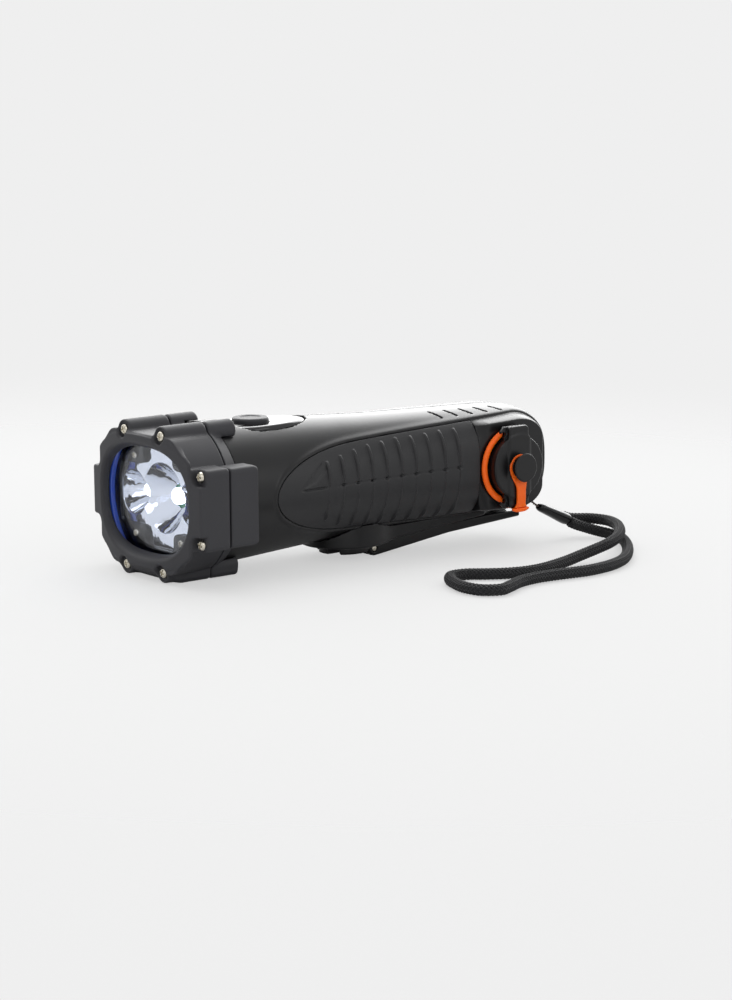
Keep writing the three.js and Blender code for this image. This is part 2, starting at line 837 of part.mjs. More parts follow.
const reflectorHoles = reflectorScrews.map(([, y, z]) =>
  barX(0, bezelLength + overrun, y, z, smallScrewShank + gap, smallScrewShank + gap, 10),
);
const mask = carve(
  flatDisc(headBore - gap, headBoreFlat - gap, maskFront, maskFront + maskThickness),
  maskWindow,
  ...reflectorHoles,
);
place("reflector_mask", mask, glossPlastic);
// each cup is a parabola turned about its LED
function cupSolid(y, rimRadius, floorRadius) {
  const depth = reflectorRear - reflectorFront;
  const profile = [[0, -hair]];
  const steps = 3;
  for (let i = 0; i <= steps; i++) {
    const r = floorRadius + ((rimRadius - floorRadius) * i) / steps;
    const share = (r * r - floorRadius ** 2) / (rimRadius ** 2 - floorRadius ** 2);
    profile.push([r, share * depth + (i === 0 ? -hair : 0)]);
  }
  profile.push([rimRadius, depth + hair], [0, depth + hair]);
  const solid = turned(profile, 20);
  return moved(solid, facing(reflectorRear, y, 0));
}
const reflector = carve(
  flatDisc(headBore - gap - gap, headBoreFlat - gap - gap, reflectorFront, reflectorRear),
  cupSolid(0, mainCupRadius, cupFloorRadius),
  cupSolid(sideCupSpread, sideCupRadius, sideCupFloorRadius),
  cupSolid(-sideCupSpread, sideCupRadius, sideCupFloorRadius),
  ...reflectorHoles,
);
place("reflector", reflector, mirror);
for (const [name, y, z] of reflectorScrews) {
  const blank = screw(smallScrewRadius, smallScrewHeight, smallScrewShank, smallScrewLength, 8);
  place(name, moved(blank, facing(maskFront - gap / 2, y, z)), steel);
}
const ledBoardFront = reflectorRear + gap;
const ledBoard = flatDisc(
  headBore - wall - gap - gap,
  headBoreFlat - wall - gap,
  ledBoardFront,
  ledBoardFront + ledBoardThickness,
);
place("led_board", ledBoard, boardGreen);
function led(radius) {
  const straight = ledHeight - radius / 2;
  const profile = [
    [0, 0],
    [radius, 0],
    [radius, straight],
    [radius * Math.cos(Math.PI / 6), straight + radius / 4],
    [radius / 2, straight + radius / 2],
    [0, ledHeight + radius / 4],
  ];
  return turned(profile, 16);
}
const ledRows = [
  ["led_center", 0, mainLedRadius],
  ["led_left", sideCupSpread, sideLedRadius],
  ["led_right", -sideCupSpread, sideLedRadius],
];
for (const [name, y, radius] of ledRows) {
  place(name, moved(led(radius), facing(ledBoardFront - gap, y, 0)), ledWhite);
}

// Body: two shells that meet on the middle plane
const gripOutline = (grow) => {
  const shape = new THREE.Shape();
  const nose = gripFront + gripNose;
  const half = gripHalfHeight + grow;
  shape.moveTo(nose, gripMiddle - half);
  shape.lineTo(gripRear + grow, gripMiddle - half - gripSpread);
  shape.lineTo(gripRear + grow, gripMiddle + half + gripSpread);
  shape.lineTo(nose, gripMiddle + half);
  shape.absellipse(nose, gripMiddle, gripNose + grow, half, Math.PI / 2, 1.5 * Math.PI, false);
  return shape;
};
const bodyOuter = bodySolid(0, bodyRingPoints);
const hollowEndShare = 1 - wall / bodyLength;
const bodyInner = bodySolid(-wall, hollowRingPoints, hollowEndShare, 2);
const neckInner = neckRadius - wall;
const bodyInnerMouth = barX(bodyFront - overrun, bodyFront + hair, 0, 0, neckInner, neckInner, 44);
const gripFloor = bodySolid(-gripDepth, bodyRingPoints);
const plateFloor = bodySolid(-buttonPlateDepth, bodyRingPoints);
const buttonPlateShape = (grow) => {
  const shape = new THREE.Shape();
  const half = buttonPlateHalfWidth + grow;
  shape.moveTo(buttonPlateWidest, -half);
  const behind = buttonPlateRear - buttonPlateWidest + grow;
  const ahead = buttonPlateWidest - buttonPlateFront + grow;
  shape.absellipse(buttonPlateWidest, 0, behind, half, -Math.PI / 2, Math.PI / 2, false);
  shape.absellipse(buttonPlateWidest, 0, ahead, half, Math.PI / 2, 1.5 * Math.PI, false);
  return shape;
};
const plateRoom = carve(prismZ(buttonPlateShape(gap), 0, neckRadius + overrun), plateFloor);
const plateRoomFlat = box(
  bodyFront, gripRear, -neckRadius, neckRadius, buttonPlateTop, neckRadius + overrun,
).intersect(prismZ(buttonPlateShape(gap), 0, neckRadius + overrun));
const buttonRoom = barZ(0, neckRadius + overrun, buttonPlace, 0, buttonRadius + gap);
const portBar = (y0, y1, radius, sides = 28) =>
  barY(y0, y1, portPlace, portHeight, radius, radius, sides);
const portBoss = portBar(-portBossFace, -portBossFace + overrun * 2, portBossRadius);
const shaftRoom = barZ(-neckRadius - overrun, 0, crankAxis, 0, shaftRadius + gap);
const slotFloor = bodySolid(-slotDepth, bodyRingPoints);
const slots = [];
for (let i = 0; i < slotCount; i++) {
  for (const side of [1, -1]) {
    const bar = new THREE.BoxGeometry(slotHalfLength * 2, slotWidth, neckRadius);
    bar.rotateZ(side * slotTilt);
    bar.translate(slotFirst + i * slotPitch, side * slotSpread, neckRadius);
    slots.push(carve(toSolid(bar), slotFloor));
  }
}
const shellBlank = carve(
  bodyOuter,
  bodyInner,
  bodyInnerMouth,
  plateRoom,
  plateRoomFlat,
  buttonRoom,
  shaftRoom,
  ...slots,
);
const bodyScrews = [
  ["body_screw_front", 72, -12.5],
  ["body_screw_middle", 120, 14.3],
  ["body_screw_rear", 154, -12.5],
];
const posts = (y0, y1, radius) =>
  bodyScrews.map(([, x, z]) => barY(y0, y1, x, z, radius, radius, 10));
const halfSpace = (side) => {
  const y = side * seam;
  const far = side * neckRadius * 2;
  return box(0, bodyRear + overrun, Math.min(y, far), Math.max(y, far), -2 * neckRadius, 2 * neckRadius);
};
const gripRoom = (side) =>
  carve(
    prismY(gripOutline(gap), Math.min(0, side * neckRadius * 2), Math.max(0, side * neckRadius * 2)),
    gripFloor,
  );
// the right shell has the round boss and bore of the charging port, and the screws' seats
const screwPostsRight = posts(-neckRadius, -seam, postRadius).map((bar) => bar.intersect(bodyOuter));
const screwPostsLeft = posts(seam, neckRadius, postRadius).map((bar) => bar.intersect(bodyOuter));
const shellRight = carve(
  unite(
    shellBlank.intersect(halfSpace(-1)),
    ...screwPostsRight,
    portBoss.intersect(halfSpace(-1)),
  ),
  gripRoom(-1),
  portBar(-neckRadius - overrun, -portBossFace + overrun * 3, portBore),
  portBar(-neckRadius * 2, -portBossFace, portBossRadius + gap, 32),
  ...bodyScrews.map(([, x, z]) =>
    barY(-neckRadius - overrun, -screwSeatDepth, x, z, smallScrewRadius + gap, smallScrewRadius + gap, 12),
  ),
  ...posts(-neckRadius, overrun * 2, smallScrewShank + gap),
);
const shellLeft = carve(
  unite(shellBlank.intersect(halfSpace(1)), ...screwPostsLeft),
  gripRoom(1),
  ...posts(-overrun, overrun * 3, smallScrewShank + gap),
);

// Body: grips with ten ribs each, pressed into their pockets
const gripShell = carve(bodySolid(gripProud, bodyRingPoints), bodySolid(gap - gripDepth, bodyRingPoints));
const ribShell = carve(
  bodySolid(gripProud + ribHeight, ribRingPoints, 1, 2),
  bodySolid(-gap, ribRingPoints, 1, 2),
);
const ribBars = (side) => {
  const bars = [];
  for (let i = 0; i < ribCount; i++) {
    const x = firstRib + i * ribPitch;
    const nose = gripFront + gripNose;
    const along = Math.max(0, nose - x) / gripNose;
    const reach = gripHalfHeight * Math.sqrt(1 - along ** 2) - ribTrim;
    const y0 = Math.min(side * overrun, side * neckRadius * 2);
    const y1 = Math.max(side * overrun, side * neckRadius * 2);
    bars.push(box(x - ribWidth / 2, x + ribWidth / 2, y0, y1, gripMiddle - reach, gripMiddle + reach));
  }
  return unite(...bars);
};
const grip = (side) => {
  const y0 = Math.min(side * overrun, side * neckRadius * 2);
  const y1 = Math.max(side * overrun, side * neckRadius * 2);
  return unite(prismY(gripOutline(0), y0, y1).intersect(gripShell), ribBars(side).intersect(ribShell));
};
place("grip_right", grip(-1), gripRubber);
place("grip_left", grip(1), gripRubber);
const gripClear = prismY(gripOutline(gap), -2 * neckRadius, 2 * neckRadius)
  .intersect(bodySolid(gripProud + gap, bodyRingPoints));
for (const [name, x, z] of bodyScrews) {
  const blank = screw(smallScrewRadius, smallScrewHeight, smallScrewShank, screwSeatDepth + overrun * 2, 8);
  const matrix = new THREE.Matrix4().makeRotationX(Math.PI / 2);
  matrix.setPosition(x, -screwSeatDepth - gap / 2, z);
  place(name, moved(blank, matrix), steel);
}

// Button, its plate, the switch under it and the main board
const buttonProfile = [
  [0, buttonBottom],
  [buttonRadius, buttonBottom],
  [buttonRadius, buttonTop - 2 * gap],
  [buttonRadius - 2 * gap, buttonTop],
  [buttonDishRadius + gap, buttonTop],
  [buttonDishRadius, buttonTop - buttonDishDepth],
  [0, buttonTop - buttonDishDepth - gap],
];
place("power_button", turned(buttonProfile, 36).translate(buttonPlace, 0, 0), glossPlastic);
const buttonPlate = carve(
  bodySolid(gap / 2, bodyRingPoints)
    .intersect(prismZ(buttonPlateShape(0), 0, neckRadius + overrun))
    .intersect(box(0, gripRear, -neckRadius, neckRadius, 0, buttonPlateTop - gap)),
  bodySolid(gap - buttonPlateDepth, bodyRingPoints),
  buttonRoom,
);
place("button_plate", buttonPlate, glossPlastic);
const boardTop = buttonBottom - 2 * gap - gap - switchHeight;
const boardBottom = boardTop - boardThickness;
place(
  "main_board",
  box(boardFront, boardRear, -boardHalfWidth, boardHalfWidth, boardBottom, boardTop),
  boardGreen,
);
const stemRadius = switchHalfWidth / 2;
place(
  "power_switch",
  unite(
    box(
      buttonPlace - switchHalfWidth,
      buttonPlace + switchHalfWidth,
      -switchHalfWidth,
      switchHalfWidth,
      boardTop + gap / 2,
      boardTop + switchHeight - 2 * gap,
    ),
    barZ(boardTop + gap, boardTop + switchHeight, buttonPlace, 0, stemRadius, stemRadius, 16),
  ),
  glossPlastic,
);

// Battery on its cradle over the gears
const batteryRear = batteryFront + batteryLength;
const tipRadius = batteryRadius / 3;
const batteryBody = unite(
  barX(batteryFront, batteryRear, 0, batteryHeight, batteryRadius, batteryRadius, 32),
  barX(batteryRear - hair, batteryRear + batteryTip, 0, batteryHeight, tipRadius, tipRadius, 20),
);
place("battery", batteryBody, cellWrap);
const cradleFloor = plateTop + gap;
const cradleTop = batteryHeight - batteryRadius / 2;
const cradle = carve(
  box(cradleFront, batteryRear, -cradleHalfWidth, cradleHalfWidth, cradleFloor, cradleTop),
  barX(0, batteryRear + overrun, 0, batteryHeight, batteryRadius + gap, batteryRadius + gap, 32),
);
place("battery_cradle", cradle, nylon);

// Crank: pedestal and rail under the body
const pedestalPlan = unite(
  barZ(-2 * neckRadius, 0, crankAxis, 0, pedestalRadius, pedestalRadius, 40),
  box(crankAxis, railRear, -railHalfWidth, railHalfWidth, -2 * neckRadius, 0),
);
const railRun = railRear - hingePlace;
const railProfile = shapeOf([
  [crankAxis - pedestalRadius - overrun, 0],
  [crankAxis - pedestalRadius - overrun, -pedestalFlat],
  ...railShares.map(([along, up]) => [hingePlace + along * railRun, -pedestalFlat + up * railRise]),
  [railRear + overrun, 0],
]);
const crankBase = carve(
  pedestalPlan.intersect(prismY(railProfile, -railHalfWidth * 2, railHalfWidth * 2)),
  bodyClear,
  gripClear,
  shaftRoom,
);
place("crank_base", crankBase, shellPlastic);

// Crank: hub with its shaft, tongue and the slots that the folded-out fork lies in
const hubDiscBottom = -pedestalFace - hubDiscThickness;
const forkRoomHalf = armHalfWidth + gap + hair;
const hubTop = plateBottom + plateThickness;
const knuckleSlotStart = crankAxis + knuckleSlot;
const slotCuts = [1, -1].flatMap((side) => {
  const y0 = Math.min(side * (tongueHalfWidth + hair / 5), side * forkRoomHalf);
  const y1 = Math.max(side * (tongueHalfWidth + hair / 5), side * forkRoomHalf);
  return [
    box(
      crankAxis - hubRadius - overrun,
      hingePlace + overrun,
      y0,
      y1,
      -2 * neckRadius,
      -pedestalFace - hubWebThickness,
    ),
    box(knuckleSlotStart, hingePlace + overrun, y0, y1, -2 * neckRadius, -pedestalFace + overrun),
  ];
});
const hinge = (y0, y1, radius) => barY(y0, y1, hingePlace, -hingeHeight, radius, radius, 24);
const knuckle = hinge(-tongueHalfWidth, tongueHalfWidth, knuckleRadius);
const tongue = box(crankAxis, hingePlace, -tongueHalfWidth, tongueHalfWidth, hubDiscBottom, -pedestalFace);
const hubShaftSmall = shaftRadius - hubShaftStep;
const crankHub = carve(
  unite(
    carve(barZ(hubDiscBottom, -pedestalFace, crankAxis, 0, hubRadius, hubRadius, 36), ...slotCuts),
    tongue,
    knuckle,
    barZ(-pedestalFace - hair, crankGearBottom - gap, crankAxis, 0, shaftRadius, shaftRadius, 24),
    barZ(crankGearBottom - gap - hair, hubTop, crankAxis, 0, hubShaftSmall, hubShaftSmall, 24),
  ),
  hinge(-armHalfWidth, armHalfWidth, hingePinRadius + gap / 2),
);
place("crank_hub", crankHub, shellPlastic);

// Crank: arm, a long fork at the hinge and a flat tip that carries the knob
const armProfile = new THREE.Shape();
const armTopAt = -hingeHeight + knuckleRadius;
armProfile.moveTo(hingePlace, armTopAt);
armProfile.absarc(hingePlace, -hingeHeight, knuckleRadius, Math.PI / 2, Math.PI * 1.55, false);
const armRun = armRear - hingePlace;
const armRise = hingeHeight - armTipTop;
for (const [along, up] of armUnderShares) {
  armProfile.lineTo(hingePlace + along * armRun, -hingeHeight + up * armRise);
}
armProfile.lineTo(armRear, -armTipTop - armTipThickness);
armProfile.lineTo(armRear, -armTipTop);
for (const [along, up] of armTopShares) {
  armProfile.lineTo(hingePlace + along * armRun, -hingeHeight + up * armRise);
}
armProfile.lineTo(hingePlace + 2 * knuckleRadius, armTopAt);
const armHoleRadius = knobPinRadius + gap;
const crankArm = carve(
  prismY(armProfile, -armHalfWidth, armHalfWidth),
  box(
    hingePlace - knuckleRadius * 2,
    hingePlace + forkLength,
    -tongueHalfWidth - gap,
    tongueHalfWidth + gap,
    -2 * neckRadius,
    0,
  ),
  hinge(-armHalfWidth * 2, armHalfWidth * 2, hingePinRadius + gap / 2),
  barZ(-2 * neckRadius, 0, knobPlace, 0, armHoleRadius, armHoleRadius, 20),
);
place("crank_arm", crankArm, shellPlastic);
place("hinge_pin", hinge(-armHalfWidth + hair, armHalfWidth - hair, hingePinRadius), steel);
const knobBottom = -armTipTop + gap;
const knobTop = knobBottom + knobHeight;
const armTipBottom = -armTipTop - armTipThickness;
const knob = turned(
  [
    [knobPinRadius + gap, knobBottom],
    [knobRadius, knobBottom],
    [knobRadius, knobTop - gap],
    [knobRadius - gap, knobTop],
    [knobPinRadius + gap, knobTop],
    [knobPinRadius + gap, knobBottom],
  ],
  28,
);
place("crank_knob", knob.translate(knobPlace, 0, 0), glossPlastic);
const knobPinHead = knobPinRadius + 2 * gap;
place(
  "knob_pin",
  turned(
    [
      [0, armTipBottom + gap],
      [knobPinRadius, armTipBottom + gap],
      [knobPinRadius, knobTop + gap / 2],
      [knobPinHead, knobTop + gap / 2],
      [knobPinHead, knobTop + gap],
      [0, knobTop + gap],
    ],
    20,
  ).translate(knobPlace, 0, 0),
  steel,
);

// Gears: involute teeth with backlash
function gearPoints(teeth, phase) {
  const pitch = (gearModule * teeth) / 2;
  const pressure = (20 * Math.PI) / 180;
  const base = pitch * Math.cos(pressure);
  const tip = pitch + gearModule * 0.92;
  const root = pitch - gearModule * 1.25;
  const involute = (a) => Math.tan(a) - a;
  const half = Math.PI / (2 * teeth) - gearBacklash / (2 * pitch);
  const halfAt = (r) => half + involute(pressure) - involute(Math.acos(Math.min(1, base / r)));
  const start = Math.max(base, root);
  const radii = teeth > 20 ? [start, tip] : [start, pitch, tip];
  const points = [];
  const step = (2 * Math.PI) / teeth;
  for (let i = 0; i < teeth; i++) {
    const middle = phase + step * i;
    for (const r of radii) points.push([r, middle - halfAt(r)]);
    for (const r of radii.slice().reverse()) points.push([r, middle + halfAt(r)]);
    points.push([root, middle + halfAt(start)], [root, middle + step - halfAt(start)]);
  }
  return points.map(([r, a]) => [r * Math.cos(a), r * Math.sin(a)]);
}
const gearSolid = (teeth, phase, z0, width) => prismZ(shapeOf(gearPoints(teeth, phase)), z0, z0 + width);
const crankGear = carve(
  gearSolid(crankTeeth, 0, crankGearBottom, crankGearWidth),
  barZ(-neckRadius, 0, 0, 0, hubShaftSmall + gap, hubShaftSmall + gap, 24),
);
place("crank_gear", crankGear.translate(crankAxis, 0, 0), nylon);
const idlerPinionTurn = Math.PI + Math.PI / idlerSmallTeeth;
const idlerPinionWidth = idlerGearBottom - crankGearBottom + hair;
const idlerGear = carve(
  unite(
    gearSolid(idlerSmallTeeth, idlerPinionTurn, crankGearBottom, idlerPinionWidth),
    gearSolid(idlerLargeTeeth, 0, idlerGearBottom, idlerGearWidth),
  ),
  barZ(-neckRadius, 0, 0, 0, idlerAxleRadius + gap / 2, idlerAxleRadius + gap / 2, 20),
);
place("idler_gear", idlerGear.translate(idlerAxis, 0, 0), nylon);

// Gear frame: a tray under the gears and a plate over them
const trayTop = trayBottom + trayThickness;
const trayMiddle = crankAxis - trayReachFront;
const trayFront = trayMiddle - trayLip;
const trayRear = rotorAxis + trayReachRear;
const postPlaces = [
  [trayMiddle + trayPostInset, 0],
  [trayRear - trayPostInset, gearPlateHalfWidth - trayLip],
  [trayRear - trayPostInset, -gearPlateHalfWidth + trayLip],
];
const trayFoot = bodySolid(-wall - gap, hollowRingPoints, hollowEndShare, 2);
const trayBars = (z0, z1) =>
  postPlaces.map(([x, y]) => barZ(z0, z1, x, y, trayPostRadius, trayPostRadius, 12));
const trayLegs = trayBars(-neckRadius, trayTop);
const trayPosts = trayBars(trayBottom, plateBottom - gap);
trayPosts[0] = box(
  trayFront,
  trayMiddle - trayTab,
  -trayPostInset,
  trayPostInset,
  trayBottom,
  plateBottom - gap,
);
const gearTray = carve(
  unite(
    box(trayFront, trayRear, -gearPlateHalfWidth, gearPlateHalfWidth, trayBottom, trayTop),
    ...trayLegs,
    ...trayPosts,
  ).intersect(trayFoot),
  barZ(-neckRadius, 0, crankAxis, 0, shaftRadius + gap),
  barZ(-neckRadius, 0, idlerAxis, 0, idlerAxleRadius + gap / 2, idlerAxleRadius + gap / 2, 16),
);
place("gear_tray", gearTray, nylon);
const gearPlate = carve(
  prismZ(
    roundedRect(trayFront, trayRear, -gearPlateHalfWidth, gearPlateHalfWidth, trayLip),
    plateBottom,
    plateTop,
  ),
  barZ(-neckRadius, 0, crankAxis, 0, hubShaftSmall + gap, hubShaftSmall + gap, 24),
  barZ(-neckRadius, 0, idlerAxis, 0, idlerAxleRadius + gap / 2, idlerAxleRadius + gap / 2, 16),
  barZ(-neckRadius, 0, rotorAxis, 0, rotorShaftRadius + 2 * gap, rotorShaftRadius + 2 * gap, 16),
);
place("gear_plate", gearPlate, nylon);
place(
  "idler_axle",
  barZ(trayBottom, plateTop, idlerAxis, 0, idlerAxleRadius, idlerAxleRadius, 20),
  steel,
);

// Generator: a can on the plate, and its rotor with the pinion that reaches down to the idler
const canBottom = plateTop + gap;
const rotorHole = rotorShaftRadius + gap;
const generatorCan = carve(
  barZ(canBottom, canBottom + generatorHeight, rotorAxis, 0, generatorRadius, generatorRadius, 36),
  barZ(
    canBottom + canWall,
    canBottom + generatorHeight - canWall,
    rotorAxis,
    0,
    generatorRadius - canWall,
    generatorRadius - canWall,
    36,
  ),
  barZ(canBottom - overrun, canBottom + overrun, rotorAxis, 0, rotorHole, rotorHole, 16),
);
place("generator_can", generatorCan, steel);
const rotorBottom = canBottom + canWall + 2 * gap;
const rotorTop = canBottom + generatorHeight - canWall - 2 * gap;
const pinion = gearSolid(pinionTeeth, Math.PI + Math.PI / pinionTeeth, idlerGearBottom, idlerGearWidth);
const rotorRadius = generatorRadius - canWall - rotorClearance;
const rotor = unite(
  barZ(rotorBottom, rotorTop, rotorAxis, 0, rotorRadius, rotorRadius),
  barZ(idlerGearBottom - gap, rotorBottom + hair, rotorAxis, 0, rotorShaftRadius, rotorShaftRadius, 16),
  pinion.translate(rotorAxis, 0, 0),
);
place("generator_rotor", rotor, brass);

// Charging port: tray, sockets and board behind the bore
const trayFace = -portBossFace + portTraySunk;
const portTrayBack = trayFace + portTrayDepth;
const portBoardFront = portTrayBack + portBoardBehind;
const trayOuter = portBore - gap;
const trayInner = trayOuter - portTrayWall;
const trayFloor = portTrayBack - portTrayWall;
const atPort = (solid) => solid.translate(portPlace, 0, portHeight);
const portTray = carve(
  barY(trayFace, portTrayBack, 0, 0, trayOuter, trayOuter, 36),
  barY(trayFace - overrun, trayFloor, 0, 0, trayInner, trayInner, 36),
  ...socketRows.map(([, z, w, h]) =>
    box(-w - gap, w + gap, trayFace, portTrayBack + overrun, z - h - gap, z + h + gap),
  ),
);
for (const [name, z, w, h] of socketRows) {
  const socket = carve(
    box(-w, w, trayFloor, portBoardFront - gap, z - h, z + h),
    box(
      -w + socketRim,
      w - socketRim,
      trayFace - overrun,
      portBoardFront - socketFloor,
      z - h + socketRim,
      z + h - socketRim,
    ),
  );
  place(name, atPort(socket), steel);
}
place("port_tray", atPort(portTray), glossPlastic);
const portBoard = box(
  -portBoardHalfLength,
  portBoardHalfLength,
  portBoardFront,
  portBoardFront + boardThickness,
  -portBoardHalfHeight,
  portBoardHalfHeight,
);
place("port_board", atPort(portBoard), boardGreen);

// Charging port: orange arc that hinges the cap, plug cap with tabs, brackets and knob, keyhole strap
const ringBack = -portBossFace - gap;
const ringFront = ringBack - gasketThickness;
const roundY = (y0, y1, radius, sides = 32) => barY(y0, y1, 0, 0, radius, radius, sides);
const sealRing = carve(
  roundY(ringFront, ringBack, gasketOuter),
  roundY(ringFront - overrun, ringBack + overrun, gasketInner),
  box(
    -capTabHalfWidth - gap,
    gasketOuter + overrun,
    ringFront - overrun,
    ringBack + overrun,
    -gasketOuter - overrun,
    gasketOuter + overrun,
  ),
);
place("port_gasket", atPort(sealRing), orangeRubber);
const capDisc = roundY(-capFront, -capBack, capRadius);
const capTabs = prismY(
  roundedRect(-capTabHalfWidth, capTabHalfWidth, -capTabReach, capTabReach, capTabRound),
  -capFront,
  ringBack - gap,
);
const wingBack = ringFront - gap;
const capWings = [-capTabReach, capTabReach - capWingLength].map((z) =>
  box(-capWingReach, 0, wingBack - capWingThickness, wingBack, z, z + capWingLength),
);
const capCore = roundY(-capBack - hair, ringBack - gap, capRadius - capStep, 28);
const capPlug = roundY(ringBack - gap - hair, ringBack + capPlugDepth, capPlugRadius - capStep);
const capKnob = unite(
  roundY(-knobCapFront + gap, -capFront + hair, knobCapRadius),
  barY(-knobCapFront, -knobCapFront + gap + hair, 0, 0, knobCapRadius - gap, knobCapRadius, 32),
);
const strapGroove = box(
  -strapHalfWidth - gap,
  strapHalfWidth + gap,
  -capFront - overrun,
  -capFront + strapSunk + gap,
  -capTabReach - overrun,
  -knobCapRadius,
);
const plugInner = capPlugRadius - capPlugWall;
const capHollow = roundY(ringBack + capStep, ringBack + capPlugDepth + overrun, plugInner, 28);
const capBody = unite(capDisc, capTabs, ...capWings, capCore, capPlug, capKnob);
const portCap = carve(capBody, strapGroove, capHollow);
place("port_cap", atPort(portCap), shellPlastic);
const strapBack = -capFront + strapSunk;
const loopOuter = knobCapRadius + gap + strapLoopWidth;
const strapFront = strapBack - strapThickness;
const strapBand = box(
  -strapHalfWidth,
  strapHalfWidth,
  strapFront,
  strapBack,
  -capTabReach,
  -knobCapRadius,
);
const strapLoop = roundY(strapFront, -capFront - gap, loopOuter, 36);
const strap = carve(
  unite(strapLoop, strapBand),
  roundY(-2 * neckRadius, 0, knobCapRadius + gap, 36),
);
place("port_strap", atPort(strap), orangeRubber);
const footTop = portHeight - capTabReach - gap;
const footCurve = (strapFootHalfWidth ** 2 + strapFootThickness ** 2) / (2 * strapFootThickness);
const footBar = barY(
  strapFront,
  -strapFootInner,
  portPlace,
  footTop - strapFootThickness + footCurve,
  footCurve,
  footCurve,
  72,
);
const strapFoot = carve(
  footBar.intersect(
    box(
      portPlace - strapFootHalfWidth,
      portPlace + strapFootHalfWidth,
      strapFront - overrun,
      0,
      footTop - strapFootThickness - overrun,
      footTop,
    ),
  ),
  bodyClear,
  portBar(-portBossFace - gap, 0, portBossRadius + gap),
);
place("strap_foot", strapFoot, orangeRubber);

// Wrist strap: the bar it hangs on, in an eye at the body's lower rear corner
const eyeRoom = box(
  strapPinPlace - eyeHalfWidth,
  strapPinPlace + eyeHalfWidth,
  -2 * neckRadius,
  -strapPinDepth + eyeReach,
  -eyeHeight - eyeReach,
  -eyeHeight + eyeHalfWidth,
);
const pinDepth = -strapPinDepth - strapPinSunk;
const strapPin = (grow) =>
  barX(
    strapPinPlace - strapPinHalfLength - grow,
    strapPinPlace + strapPinHalfLength + grow,
    pinDepth,
    -eyeHeight,
    strapPinRadius + grow / 2,
    strapPinRadius + grow / 2,
    16,
  );
place("body_shell_right", carve(shellRight, eyeRoom, strapPin(gap)), shellPlastic);
place("body_shell_left", shellLeft, shellPlastic);
place("strap_pin", strapPin(0), steel);

// Wrist strap: thin string, ferrule and the cord that is doubled back into it
const strapGroup = new THREE.Group();
function tubeAlong(points, diameter, sides, steps) {
  const curve = new THREE.CatmullRomCurve3(points.map((point) => new THREE.Vector3(...point)), false);
  const ring = [];
  for (let i = 0; i < sides; i++) {
    const t = (2 * Math.PI * i) / sides;
    ring.push([(diameter / 2) * Math.cos(t), (diameter / 2) * Math.sin(t)]);
  }
  const options = { steps, extrudePath: curve, bevelEnabled: false };
  return toSolid(new THREE.ExtrudeGeometry(shapeOf(ring), options));
}
const strapString = tubeAlong(stringPoints, stringDiameter, cordSides, stringSteps);
place("strap_string", strapString, cordFabric, strapGroup);
const wristCord = tubeAlong(cordPoints, cordDiameter, cordSides, cordSteps);
place("wrist_cord", wristCord, cordFabric, strapGroup);
const [ferruleStart, ferruleEnd] = ferrulePoints.map((point) => new THREE.Vector3(...point));
const ferruleLength = ferruleStart.distanceTo(ferruleEnd);
const ferruleTurn = new THREE.Quaternion().setFromUnitVectors(
  new THREE.Vector3(0, 0, 1),
  ferruleEnd.clone().sub(ferruleStart).normalize(),
);
const ferruleBlank = turned(
  [
    [0, 0],
    [ferruleRadius / 2, 0],
    [ferruleRadius, ferruleRadius / 2],
    [ferruleEndRadius, ferruleLength],
    [0, ferruleLength],
  ],
  20,
);
const ferruleMatrix = new THREE.Matrix4()
  .compose(ferruleStart, ferruleTurn, new THREE.Vector3(1, ferruleStretch, 1));
place("strap_ferrule", moved(ferruleBlank, ferruleMatrix), glossPlastic, strapGroup);

// Tipping the torch onto its rests: the head's bottom edge and the crank's knuckle
const restRun = hingePlace - footRest;
const restDrop = hingeHeight - footBlockHeight;
const tilt = Math.asin(knuckleRadius / Math.hypot(restRun, restDrop)) + Math.atan2(restDrop, restRun);
torch.rotation.y = -tilt;

// The whole part stands over the middle of its box
const part = new THREE.Group();
part.add(torch, strapGroup);
part.updateMatrixWorld(true);
const extent = new THREE.Box3().setFromObject(torch, true);
const middleX = (extent.min.x + extent.max.x) / 2;
const middleY = (extent.min.y + extent.max.y) / 2;
torch.position.set(-middleX, -middleY, -extent.min.z);
strapGroup.position.set(-middleX, -middleY, 0);

export default part;
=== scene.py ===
"""Looks of the hand-cranked torch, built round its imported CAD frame.

The torch's own coordinates are used for shaping: millimetres, x back from the face, y sideways
(the charging port is on the -y side), z up from the barrel's axis. world() tips and moves them.
"""

import json
import math

import bpy
import numpy as np
from mathutils import Matrix, Vector

